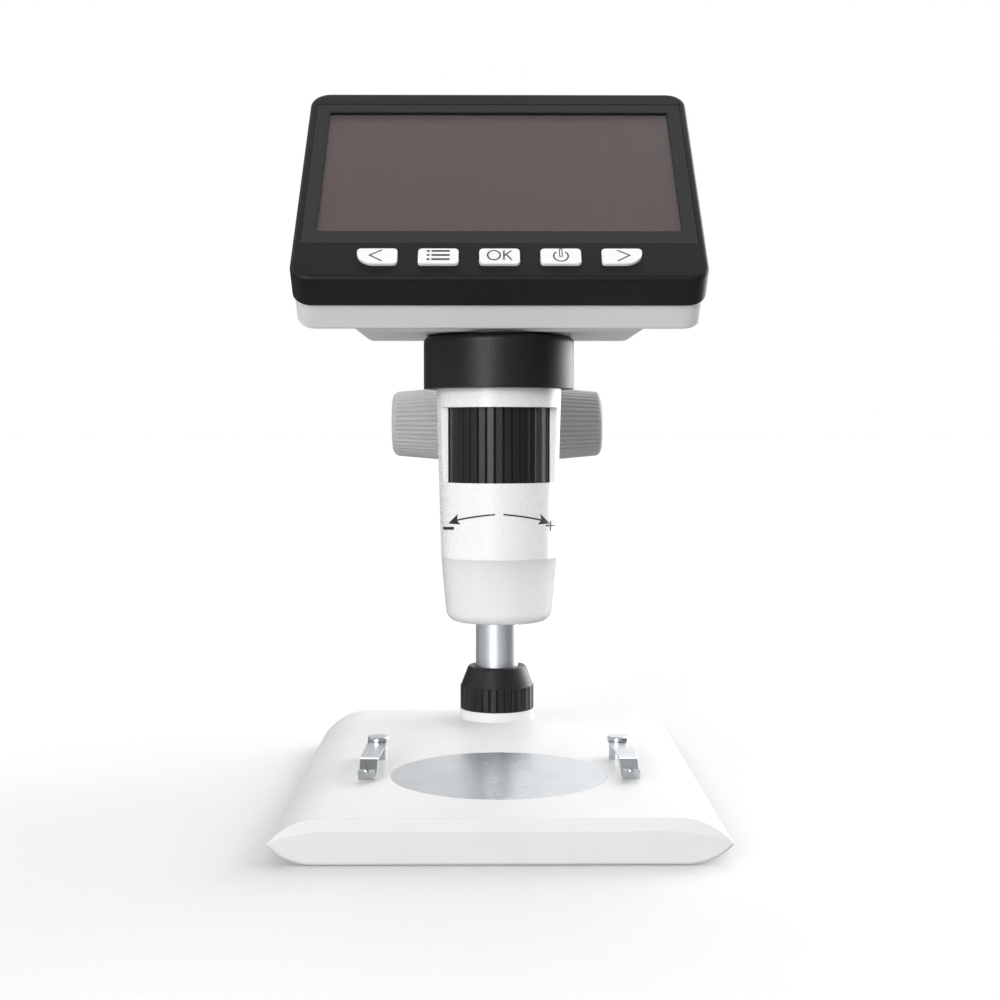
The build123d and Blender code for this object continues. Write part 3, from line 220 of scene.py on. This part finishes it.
def printed_glass(name):
    """Cover glass: clear over the picture, with a dark print round it."""
    finish = Finish(name, {"IOR": 1.5, "Specular IOR Level": 0.5})
    half_sizes = (PICTURE_WIDTH / 2 * MM, PICTURE_HEIGHT / 2 * MM)
    inside = []
    for axis, half in zip((RIGHT, UP_SCREEN), half_sizes):
        along = finish.add(
            "ShaderNodeVectorMath", {0: finish.place, 1: tuple(axis)}, operation="DOT_PRODUCT"
        ).outputs["Value"]
        inputs = {0: along, 1: middle("lcd_panel", axis), 2: half}
        inside.append(finish.add("ShaderNodeMath", inputs, operation="COMPARE").outputs[0])
    window = finish.add("ShaderNodeMath", {0: inside[0], 1: inside[1]}, operation="MULTIPLY")
    clear = window.outputs[0]
    finish.drive("Transmission Weight", clear)
    finish.drive("Base Color", finish.ramp(clear, (0, (0.044, 0.043, 0.043)), (1, (1, 1, 1))))
    smears = finish.noise(18, 3, (1.6, 1, 1))
    finish.drive("Roughness", finish.spread(smears, 0.02, 0.07))
    return finish.material


def clear_glass(name):
    """Lens glass with a coated tint."""
    even = {"Transmission Weight": 1.0, "IOR": 1.52, "Base Color": (0.93, 0.96, 1, 1)}
    finish = Finish(name, even)
    finish.drive("Roughness", finish.spread(finish.noise(3), 0.01, 0.05))
    return finish.material


def display(name):
    """Switched-off panel: warm brown-grey polariser over a fine grid of picture cells, with a
    painted reflection greying it towards the right.
    """
    finish = Finish(name, {"IOR": 1.5, "Specular IOR Level": 0.3})
    along = finish.add(
        "ShaderNodeVectorMath", {0: finish.place, 1: (1, 0, 0)}, operation="DOT_PRODUCT"
    ).outputs["Value"]
    half = PICTURE_WIDTH / 2 * MM
    # Painted reflection: the colour turns greyer from the panel's left edge to its right
    across = finish.spread(along, 0, 1, -half, half)
    colour = finish.ramp(across, (0, (0.098, 0.037, 0.037)), (1, (0.100, 0.052, 0.052)))
    finish.drive("Base Color", colour)
    cells = finish.noise(0.2, 1)
    finish.drive("Roughness", finish.spread(cells, 0.35, 0.45))
    finish.relief(cells, 0.002)
    return finish.material


def circuit(name):
    """Solder mask with copper tracks under it."""
    finish = Finish(name, {"IOR": 1.5})
    tracks = finish.noise(1.6, 0, (3, 1, 1))
    stops = ((0.47, (0.010, 0.075, 0.035)), (0.5, (0.02, 0.15, 0.07)), (0.53, (0.01, 0.08, 0.04)))
    finish.drive("Base Color", finish.ramp(tracks, *stops))
    finish.drive("Roughness", finish.spread(tracks, 0.25, 0.4))
    finish.relief(tracks, 0.03)
    return finish.material


def lamp(name):
    """White light-emitting diode: clear resin over yellow phosphor."""
    finish = Finish(name, {"IOR": 1.5, "Coat Weight": 0.6})
    spots = finish.cells(1.2)
    stops = ((0.1, (0.9, 0.72, 0.18)), (0.6, (0.9, 0.9, 0.84)))
    finish.drive("Base Color", finish.ramp(spots, *stops))
    finish.drive("Roughness", finish.spread(finish.noise(0.5), 0.12, 0.25))
    return finish.material


def ribbon(name):
    """Orange polyimide ribbon with fine copper lines along it."""
    finish = Finish(name, {"IOR": 1.6})
    lines = finish.noise(0.5, 0, (1, 30, 30))
    stops = ((0.45, (0.36, 0.12, 0.02)), (0.55, (0.55, 0.24, 0.05)))
    finish.drive("Base Color", finish.ramp(lines, *stops))
    finish.drive("Roughness", finish.spread(lines, 0.25, 0.4))
    finish.relief(lines, 0.01)
    return finish.material


BLACK = grey(0.008, (0.92, 1.0, 1.25))
STEEL = (0.60, 0.625, 0.645)
# A plastic's values are its colour, roughness, size and depth of grain, mottling as a share and
# edge radius; a metal's are its colour, roughness, width of marks, their stretch and their depth
finishes = {
    "white_base": plastic("white_base", grey(0.735), 0.42, 0.5, 0.006, 0.015, 0.3),
    "white_tube": plastic(
        "white_tube", grey(0.84), 0.28, 0.6, 0.0015, 0.012, 0.2, Coat_Weight=0.2
    ),
    "white_head": plastic("white_head", grey(0.755), 0.42, 0.45, 0.006, 0.015, 0.3),
    "white_button": plastic(
        "white_button", grey(0.88), 0.22, 0.6, 0.003, 0.01, 0.15, Coat_Weight=0.3
    ),
    "black_bezel": plastic(
        "black_bezel", BLACK, 0.45, 0.42, 0.03, 0.12, 0.35, Specular_IOR_Level=0.22
    ),
    "black_stand": plastic(
        "black_stand", BLACK, 0.42, 0.5, 0.035, 0.12, 0.3, Specular_IOR_Level=0.3
    ),
    "black_ring": plastic(
        "black_ring", BLACK, 0.36, 0.4, 0.015, 0.1, 0.12, Specular_IOR_Level=0.4
    ),
    "black_cover": plastic("black_cover", grey(0.018), 0.5, 0.4, 0.02, 0.1, 0.2),
    "knob_grey": plastic(
        "knob_grey", grey(0.45), 0.5, 0.35, 0.012, 0.04, 0.12, Specular_IOR_Level=0.35
    ),
    "rubber": plastic("rubber", grey(0.02), 0.75, 0.3, 0.02, 0.1, 0.2, Specular_IOR_Level=0.3),
    "nylon": plastic("nylon", (0.72, 0.70, 0.64), 0.45, 0.5, 0.008, 0.03, 0.1),
    "chip": plastic("chip", grey(0.015), 0.35, 0.2, 0.004, 0.1, 0.05),
    "battery_wrap": plastic("battery_wrap", (0.10, 0.22, 0.42), 0.3, 2.5, 0.02, 0.05, 0.3),
    "column_steel": metal("column_steel", STEEL, 0.46, 0.12, (40, 40, 1), 0.0003),
    "stage_steel": metal("stage_steel", STEEL, 0.28, 6.0, (1, 1, 1), 0, uneven=0.01),
    "clip_steel": metal("clip_steel", STEEL, 0.28, 0.15, (1, 12, 1), 0.001),
    "steel": metal("steel", grey(0.5), 0.3, 0.3, (1, 1, 1), 0.003),
    "brass": metal("brass", (0.75, 0.52, 0.22), 0.3, 0.2, (8, 1, 1), 0.002),
    "frosted": frosted_cap("frosted"),
    "cover_glass": printed_glass("cover_glass"),
    "lens_glass": clear_glass("lens_glass"),
    "lcd": display("lcd"),
    "circuit": circuit("circuit"),
    "led": lamp("led"),
    "ribbon": ribbon("ribbon"),
}
for part in frame["record"]["subparts"]:
    for material_slot in frame["nodes"][part["node"]].material_slots:
        material_slot.material = finishes[part["material_slot"]]

ink = plastic("print_grey", grey(0.012), 0.5, 0.2, 0.001, 0.05, 0.0)


# ---------------------------------------------------------------------- pieces
def linked(name, mesh, material, sharp_angle=None):
    """Object made from a bmesh; with an angle, it is smooth but for edges sharper than that."""
    if sharp_angle is not None:
        for face in mesh.faces:
            face.smooth = True
    data = bpy.data.meshes.new(name)
    mesh.to_mesh(data)
    mesh.free()
    if sharp_angle is not None:
        data.set_sharp_from_angle(angle=radians(sharp_angle))
    data.materials.append(material)
    piece = bpy.data.objects.new(name, data)
    bpy.context.scene.collection.objects.link(piece)
    return piece


# ---------------------------------------------------------------------- printed marks
def stroke(points, width, closed=False):
    """Quads along a line of (x, y) points, mitred at its corners."""
    count = len(points)
    sides = []
    for index, point in enumerate(points):
        here = Vector(point)
        before = Vector(points[index - 1]) if index or closed else here
        after = Vector(points[(index + 1) % count]) if index < count - 1 or closed else here
        into = (here - before).normalized() if here != before else (after - here).normalized()
        out = (after - here).normalized() if after != here else into
        across = Vector((-(into + out).y, (into + out).x)).normalized()
        mitre = across * (width / 2) / max(MITRE_LIMIT, across.dot(Vector((-into.y, into.x))))
        sides.append((here + mitre, here - mitre))
    last = count if closed else count - 1
    quads = []
    for index in range(last):
        (a, b), (c, d) = sides[index], sides[(index + 1) % count]
        quads.append([a, b, d, c])
    return quads


def arc(centre, radii, start, end, steps):
    """Points of an elliptical arc, with angles in degrees."""
    angles = [radians(start + (end - start) * step / steps) for step in range(steps + 1)]
    return [(centre[0] + radii[0] * cos(a), centre[1] + radii[1] * sin(a)) for a in angles]


def printed(name, shapes, place, body):
    """Thin closed print from flat (x, y) shapes; place(x, y, lift) puts a point on the surface."""
    mesh = bmesh.new()
    for shape in shapes:
        mesh.faces.new([mesh.verts.new((point[0], point[1], 0)) for point in shape])
    bmesh.ops.triangulate(mesh, faces=mesh.faces[:])
    for _ in range(PRINT_SPLITS):
        long_edges = [edge for edge in mesh.edges if edge.calc_length() > PRINT_CELL]
        if long_edges:
            bmesh.ops.subdivide_edges(mesh, edges=long_edges, cuts=1)
            bmesh.ops.triangulate(mesh, faces=mesh.faces[:])
    for face in mesh.faces:
        if face.normal.z < 0:
            face.normal_flip()
    under = mesh.faces[:]
    upper = bmesh.ops.extrude_face_region(mesh, geom=under, use_keep_orig=True)["geom"]
    top = {item for item in upper if isinstance(item, bmesh.types.BMVert)}
    for vertex in mesh.verts:
        lift = PRINT_LIFT if vertex in top else -PRINT_SINK
        vertex.co = place(vertex.co.x, vertex.co.y, lift)
    bmesh.ops.recalc_face_normals(mesh, faces=mesh.faces[:])
    piece = linked(name, mesh, ink)
    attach(piece, body)
    return piece


def button_face(node):
    """Returns place(x, y, lift) with its origin in the middle of a button's outer face."""
    front = extent(node, OUTWARD)[1]
    back = front - BUTTON_FACE_DEPTH * MM
    cap = [v.co for v in frame["nodes"][node].data.vertices if v.co.dot(OUTWARD) > back]
    ups = [point.dot(UP_SCREEN) for point in cap]
    centre = RIGHT * middle(node, RIGHT) + UP_SCREEN * (min(ups) + max(ups)) / 2 + OUTWARD * front

    def place(x, y, lift):
        return centre + (RIGHT * x + UP_SCREEN * y + OUTWARD * lift) * MM

    return place


def chevron(side):
    """Open arrowhead that points left (-1) or right (+1)."""
    tip, back, half_height = side * 1.9, side * -1.25, 2.2
    return stroke([(back, half_height), (tip, 0.1), (back, -half_height)], BUTTON_STROKE)


def list_icon():
    """Three dots, each with a bar."""
    bullet, bar = (-2.95, -2.2), (-1.75, 2.9)
    row_pitch, centre_y = 1.65, 0.15
    shapes = []
    for row in (-1, 0, 1):
        for start, end in (bullet, bar):
            y = row * row_pitch + centre_y
            shapes += stroke([(start, y), (end, y)], LIST_STROKE)
    return shapes


def ok_letters():
    """The letters O and K as plain strokes."""
    low, high = -1.75, 1.95
    centre_y = (low + high) / 2
    ring = arc((-1.45, centre_y), (1.6, 1.85), 0, 360, 40)[:-1]
    shapes = stroke(ring, BUTTON_STROKE, closed=True)
    shapes += stroke([(1.1, low), (1.1, high)], BUTTON_STROKE)
    shapes += stroke([(3.0, high), (1.25, 0.0)], BUTTON_STROKE)
    shapes += stroke([(1.75, 0.35), (3.05, low)], BUTTON_STROKE)
    return shapes


def power_icon():
    """Open ring with a hollow bar in its gap."""
    ring = arc((0, -0.2), (1.85, 2.05), 127, 413, 40)
    bar_x, bar_low, bar_high = 0.33, -0.15, 2.35
    bar = arc((0, bar_high), (bar_x, bar_x), 0, 180, 8)
    bar += arc((0, bar_low), (bar_x, bar_x), 180, 360, 8)
    return stroke(ring, BUTTON_STROKE) + stroke(bar, POWER_BAR_STROKE, closed=True)


legends = {
    "button_back": chevron(-1),
    "button_menu": list_icon(),
    "button_ok": ok_letters(),
    "button_power": power_icon(),
    "button_next": chevron(1),
}
for node, shapes in legends.items():
    mark = printed(f"legend_{node}", shapes, button_face(node), node)

tube_low, tube_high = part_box("tube_shell")
tube_centre_y = (tube_low.y + tube_high.y) / 2
tube_mesh = frame["nodes"]["tube_shell"].data
tube_tree = BVHTree.FromPolygons(
    [vertex.co for vertex in tube_mesh.vertices],
    [polygon.vertices for polygon in tube_mesh.polygons],
)


def on_tube(x, z, lift):
    """Point that is printed from the front onto the tube, this far out from its face."""
    start = Vector((x * MM, tube_low.y - CLEAR_OF_TUBE * MM, z * MM))
    spot = tube_tree.ray_cast(start, Vector((0, 1, 0)))[0]
    out = Vector((spot.x, spot.y - tube_centre_y, 0)).normalized()
    return spot + out * lift * MM


def turn_arrow(side):
    """Drooping arrow round the tube, its head swept back."""
    knots = ((side * 1.1, 84.3), (side * 6.6, 83.85), (side * 11.6, 82.5))
    steps = 14
    line = []
    for step in range(steps + 1):
        share = step / steps
        weights = ((1 - share) ** 2, 2 * (1 - share) * share, share**2)
        line.append([sum(w * knot[axis] for w, knot in zip(weights, knots)) for axis in (0, 1)])
    head = [(side * 13.7, 81.5), (side * 11.0, 84.25), (side * 11.3, 82.55), (side * 10.3, 81.5)]
    return stroke(line, TUBE_STROKE) + [head]


minus_centre, plus_centre = (-13.6, 80.2), (13.9, 80.9)
marks = turn_arrow(-1) + turn_arrow(1)
for centre, reach, width in (
    (minus_centre, (1.5, 0.15), MINUS_STROKE),
    (plus_centre, (1.4, -0.15), PLUS_STROKE),
    (plus_centre, (0, 1.4), PLUS_STROKE),
):
    ends = [(centre[0] + side * reach[0], centre[1] + side * reach[1]) for side in (-1, 1)]
    marks += stroke(ends, width)
focus_marks = printed("focus_marks", marks, on_tube, "scope")


# ---------------------------------------------------------------------- stage clips
BASE_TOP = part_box("stage_disc")[1].z / MM
RIVET_HEAD_RADIUS = 3.1
CLIP_SPLAY = 2.1  # degrees outwards from straight ahead
CLIP_THICKNESS = 0.5
CLIP_REAR_RADIUS = 2.95
CLIP_FRONT_WIDTH = 4.6
CLIP_HOLE_RADIUS = 1.68
CLIP_REAR_STEPS = 14
# Places across the strip, as shares of its half width, and which of them has the lip's notch
CLIP_COLUMNS = (-1, -0.62, -0.3, -0.05, 0.2, 0.6, 1)
NOTCH_COLUMN = 3
NOTCH_DEPTH = 0.7
# Reach from the rivet, and height over the base, of the strip's middle
CLIP_PROFILE = (
    (3.2, 5.0), (8.5, 5.0), (14.0, 5.0), (19.5, 5.0), (23.6, 5.0), (24.2, 4.93), (24.7, 4.65),
    (25.2, 4.15), (26.3, 3.1), (27.4, 2.1), (28.4, 1.2), (28.9, 0.8), (29.4, 0.6), (29.9, 0.7),
    (30.2, 1.05), (30.7, 1.9), (31.2, 2.7), (31.6, 3.4),
)
CLIP_SHARP_ANGLE = 40


def stage_clip(side, node):
    """Spring strip: a hole for its rivet, a sloping drop and a notched lip turned up at its toe."""
    rivet_low, rivet_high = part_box("clip_rivets")
    rivet_x = rivet_high.x / MM - RIVET_HEAD_RADIUS
    rivet = Vector((side * rivet_x, (rivet_low.y + rivet_high.y) / 2 / MM, BASE_TOP))
    splay = radians(CLIP_SPLAY)
    ahead = Vector((side * sin(splay), -cos(splay), 0))
    across = Vector((side * cos(splay), sin(splay), 0))

    def at(reach, out, height):
        return (rivet + ahead * reach + across * out + UP * height) * MM

    mesh = bmesh.new()
    # Two rings of points round the rivet: the hole, and the strip's round rear with its first row
    start, level = CLIP_PROFILE[0]
    front = [atan2(column * CLIP_REAR_RADIUS, start) for column in CLIP_COLUMNS]
    corner = front[-1]
    step_angle = (2 * pi - 2 * corner) / CLIP_REAR_STEPS
    hole, rim = [], []
    for angle in front + [corner + step_angle * step for step in range(1, CLIP_REAR_STEPS)]:
        forward, sideways = cos(angle), sin(angle)
        reach = CLIP_REAR_RADIUS
        if forward > 0:
            reach = min(start / forward, CLIP_REAR_RADIUS / max(abs(sideways), 1e-6))
        for ring, radius in ((hole, CLIP_HOLE_RADIUS), (rim, reach)):
            ring.append(mesh.verts.new(at(radius * forward, radius * sideways, level)))
    for index in range(len(rim)):
        after = (index + 1) % len(rim)
        mesh.faces.new((hole[index], rim[index], rim[after], hole[after]))
    # Rows of points from there to the lip's edge
    row = rim[: len(CLIP_COLUMNS)]
    last = CLIP_PROFILE[-1][0]
    for reach, height in CLIP_PROFILE[1:]:
        share = (reach - start) / (last - start)
        half = CLIP_REAR_RADIUS + (CLIP_FRONT_WIDTH / 2 - CLIP_REAR_RADIUS) * share
        new_row = []
        for index, column in enumerate(CLIP_COLUMNS):
            drop = NOTCH_DEPTH if reach == last and index == NOTCH_COLUMN else 0
            new_row.append(mesh.verts.new(at(reach - drop / 2, half * column, height - drop)))
        for index in range(len(CLIP_COLUMNS) - 1):
            mesh.faces.new((row[index], new_row[index], new_row[index + 1], row[index + 1]))
        row = new_row
    bmesh.ops.recalc_face_normals(mesh, faces=mesh.faces[:])
    if sum(face.normal.z for face in mesh.faces) < 0:
        bmesh.ops.reverse_faces(mesh, faces=mesh.faces[:])
    for vertex in mesh.verts:
        vertex.co -= vertex.normal * CLIP_THICKNESS / 2 * MM
    bmesh.ops.solidify(mesh, geom=mesh.faces[:], thickness=-CLIP_THICKNESS * MM)
    bmesh.ops.recalc_face_normals(mesh, faces=mesh.faces[:])
    piece = linked(f"spring_{node}", mesh, finishes["clip_steel"], CLIP_SHARP_ANGLE)
    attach(piece, node)
    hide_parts(node)


for side, node in ((-1, "clip_left"), (1, "clip_right")):
    stage_clip(side, node)


# ---------------------------------------------------------------------- base
# Sizes of the CAD model's base, by which its rim and underside are found
BASE_HALF_WIDTH = 57.5
BASE_TIP = 5.2  # height of the thin side edges
BASE_UNDERSIDE = 1.2
RIM_ROUND = 3.0
SIDE_CURVE = 13.5  # width of the curve from the top face to a side edge
COVER_MARGIN = 0.3
# A point this near to the rim's round belongs to it; at the tips the thin edge's round is met too
ROUND_SLACK = 0.06
TIP_SLACK = 0.5
TIP_SLOPE = 0.85  # share of the side curve's slope where the tip begins
END_SLACK = 0.02
# The rim as photographed: a crisp bevel, and a front face nearly down to the table
BEVEL_RUN = 1.7
BEVEL_DROP = 2.9
BEVEL_EASE = 0.3  # share of the side curve's slope at which the bevel starts to narrow
BEVEL_TIP_SHARE = 0.15
FLOOR_GAP = 0.25
WELD = 0.0005
BASE_SHARP_ANGLE = 22


def bevelled_base():
    """The base with a bevelled front rim, and its outer wall brought down to the table."""
    node = frame["nodes"]["base_shell"]
    low, high = (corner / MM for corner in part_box("base_shell"))
    cover_low, cover_high = (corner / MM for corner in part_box("base_cover"))
    top_flat = BASE_HALF_WIDTH - SIDE_CURVE
    curve_drop = BASE_TOP - BASE_TIP
    curve_radius = (SIDE_CURVE**2 + curve_drop**2) / (2 * curve_drop)
    curve_centre = Vector((top_flat, 0, BASE_TOP - curve_radius))
    centre_y = low.y + RIM_ROUND
    steepest = atan2(SIDE_CURVE, curve_radius - curve_drop)

    def bevelled(point):
        """A point of the rounded rim, moved across to the bevel, which narrows to the tip."""
        away = Vector((abs(point.x), 0, point.z)) - curve_centre
        if abs(point.x) <= top_flat:
            depth, normal, slope = BASE_TOP - point.z, UP, 0
        else:
            depth = curve_radius - away.length
            normal = Vector((away.x * (1 if point.x > 0 else -1), 0, away.z)).normalized()
            slope = atan2(away.x, away.z) / steepest
        spoke = Vector((point.y - centre_y, RIM_ROUND - depth))
        least = RIM_ROUND - (TIP_SLACK if slope > TIP_SLOPE else ROUND_SLACK)
        on_round = least < spoke.length < RIM_ROUND + ROUND_SLACK
        if not (on_round and spoke.x < END_SLACK and spoke.y > -END_SLACK):
            return point
        along = min(1, max(0, atan2(spoke.y, -spoke.x) / (pi / 2)))
        ease = min(1, max(0, (slope - BEVEL_EASE) / (1 - BEVEL_EASE)))
        size = 1 - (1 - BEVEL_TIP_SHARE) * ease * ease * (3 - 2 * ease)
        foot = Vector((-RIM_ROUND, RIM_ROUND - BEVEL_DROP * size))
        head = Vector((BEVEL_RUN * size - RIM_ROUND, RIM_ROUND))
        target = foot + (head - foot) * along
        moved = Vector((point.x, centre_y + target.x, point.z)) + normal * (target.y - spoke.y)
        moved.x = min(high.x, max(-high.x, moved.x))
        return moved

    def lowered(point):
        """A point below the side edges, stretched down; the cover's seat stays in its place."""
        under_cover = (
            cover_low.x - COVER_MARGIN < point.x < cover_high.x + COVER_MARGIN
            and cover_low.y - COVER_MARGIN < point.y < cover_high.y + COVER_MARGIN
        )
        if under_cover or point.z > BASE_TIP:
            return point
        share = (BASE_TIP - point.z) / (BASE_TIP - BASE_UNDERSIDE)
        return Vector((point.x, point.y, BASE_TIP - share * (BASE_TIP - FLOOR_GAP)))

    mesh = bmesh.new()
    for vertex in node.data.vertices:
        mesh.verts.new(lowered(bevelled(vertex.co / MM)) * MM)
    mesh.verts.ensure_lookup_table()
    for polygon in node.data.polygons:
        mesh.faces.new([mesh.verts[index] for index in polygon.vertices])
    bmesh.ops.remove_doubles(mesh, verts=mesh.verts[:], dist=WELD * MM)
    bmesh.ops.dissolve_degenerate(mesh, edges=mesh.edges[:], dist=WELD * MM)
    piece = linked("bevelled_base", mesh, finishes["white_base"], BASE_SHARP_ANGLE)
    piece.modifiers.new("even_shading", "WEIGHTED_NORMAL").keep_sharp = True
    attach(piece, "base")
    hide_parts("base_shell")


bevelled_base()


# ---------------------------------------------------------------------- studio
FLOOR_RADIUS = 18  # in metres, as is the backdrop's
BACKDROP_RADIUS = 17.5
SKY_LEVELS = (0.42, 0.85)  # at and below the horizon, and overhead
SKY_SIDE = 0.02  # more on the left, less on the right
# Azimuth (0 in front, 90 on the right), elevation, half angle and soft edge in degrees, and
# brightness, which is negative where the surroundings are darker
SOFT_LIGHTS = (
    (-22, 12, 8, 10, 10.5),
    (-80, 35, 14, 16, 0.8),
    (132, 12, 11, 20, 6.3),
    (165, 14, 8, 14, 0.7),
    (98, 38, 12, 12, 1.8),
    (178, 50, 12, 14, 2.0),
    (-125, 81, 14, 16, -0.78),
    (74, -8, 16, 12, -0.37),
    (-138, 6, 12, 14, -0.34),
)


def stage_piece(name, mesh, material):
    """Piece of the studio, which is no part of the object."""
    piece = linked(name, mesh, material)
    return piece


def floor():
    """Wide pale disc under the object, which sends it no light and no reflection."""
    mesh = bmesh.new()
    bmesh.ops.create_circle(mesh, cap_ends=True, segments=96, radius=FLOOR_RADIUS)
    even = {
        "Base Color": (0.785, 0.785, 0.785, 1),
        "Roughness": 0.9,
        "Specular IOR Level": 0.1,
    }
    disc = stage_piece("floor", mesh, Finish("floor", even).material)
    disc.visible_diffuse = disc.visible_glossy = False


def backdrop():
    """White dome round it all, which sends the object no light, reflection or shadow."""
    mesh = bmesh.new()
    bmesh.ops.create_uvsphere(mesh, u_segments=48, v_segments=24, radius=BACKDROP_RADIUS)
    even = {
        "Base Color": (0, 0, 0, 1),
        "Emission Color": (1, 1, 1, 1),
        "Emission Strength": 1.0,
        "Specular IOR Level": 0.0,
    }
    dome = stage_piece("backdrop", mesh, Finish("backdrop", even).material)
    dome.visible_diffuse = dome.visible_glossy = dome.visible_shadow = False


def sky():
    """Soft surroundings: lighter overhead and on the left, with broad soft lights and darks."""
    world = bpy.data.worlds.new("studio")
    world.use_nodes = True
    bpy.context.scene.world = world
    nodes, links = world.node_tree.nodes, world.node_tree.links
    ray = nodes.new("ShaderNodeTexCoord").outputs["Generated"]

    def slope(direction, start, end, low, high, shape="LINEAR"):
        """Brightness that goes from low to high as the ray turns towards a direction."""
        along = nodes.new("ShaderNodeVectorMath")
        along.operation = "DOT_PRODUCT"
        along.inputs[1].default_value = direction
        links.new(ray, along.inputs[0])
        spread = nodes.new("ShaderNodeMapRange")
        spread.interpolation_type = shape
        limits = {"From Min": start, "From Max": end, "To Min": low, "To Max": high}
        for socket, value in limits.items():
            spread.inputs[socket].default_value = value
        links.new(along.outputs["Value"], spread.inputs["Value"])
        return spread.outputs["Result"]

    parts = [
        slope((0, 0, 1), 0, 1, *SKY_LEVELS),
        slope((1, 0, 0), -1, 1, SKY_SIDE, -SKY_SIDE),
    ]
    for azimuth, elevation, half_angle, softness, level in SOFT_LIGHTS:
        around, above = radians(azimuth), radians(elevation)
        towards = (sin(around) * cos(above), -cos(around) * cos(above), sin(above))
        outer, inner = cos(radians(half_angle + softness)), cos(radians(half_angle))
        parts.append(slope(towards, outer, inner, 0, level, "SMOOTHSTEP"))
    total = parts[0]
    for part in parts[1:]:
        add = nodes.new("ShaderNodeMath")
        links.new(total, add.inputs[0])
        links.new(part, add.inputs[1])
        total = add.outputs[0]
    links.new(total, nodes["Background"].inputs["Strength"])
    nodes["Background"].inputs["Color"].default_value = (1, 1, 1, 1)


floor()
backdrop()
sky()

# ---------------------------------------------------------------------- camera
CAMERA_PLACE = (-3.0, -458.5, 106.4)
CAMERA_DOWN = 2.51  # degrees below level
CAMERA_TURN = -0.44  # degrees, where more than 0 is to the left
FOCAL_SHARE = 1.576  # focal length over the frame's width

camera_data = bpy.data.cameras.new("camera")
camera_data.sensor_width = 36
camera_data.lens = FOCAL_SHARE * camera_data.sensor_width
camera_data.clip_start = 0.01
camera = bpy.data.objects.new("camera", camera_data)
camera.location = Vector(CAMERA_PLACE) * MM
camera.rotation_euler = (pi / 2 - radians(CAMERA_DOWN), 0, radians(CAMERA_TURN))
bpy.context.scene.collection.objects.link(camera)
bpy.context.scene.camera = camera
bpy.context.scene.view_settings.view_transform = "Standard"
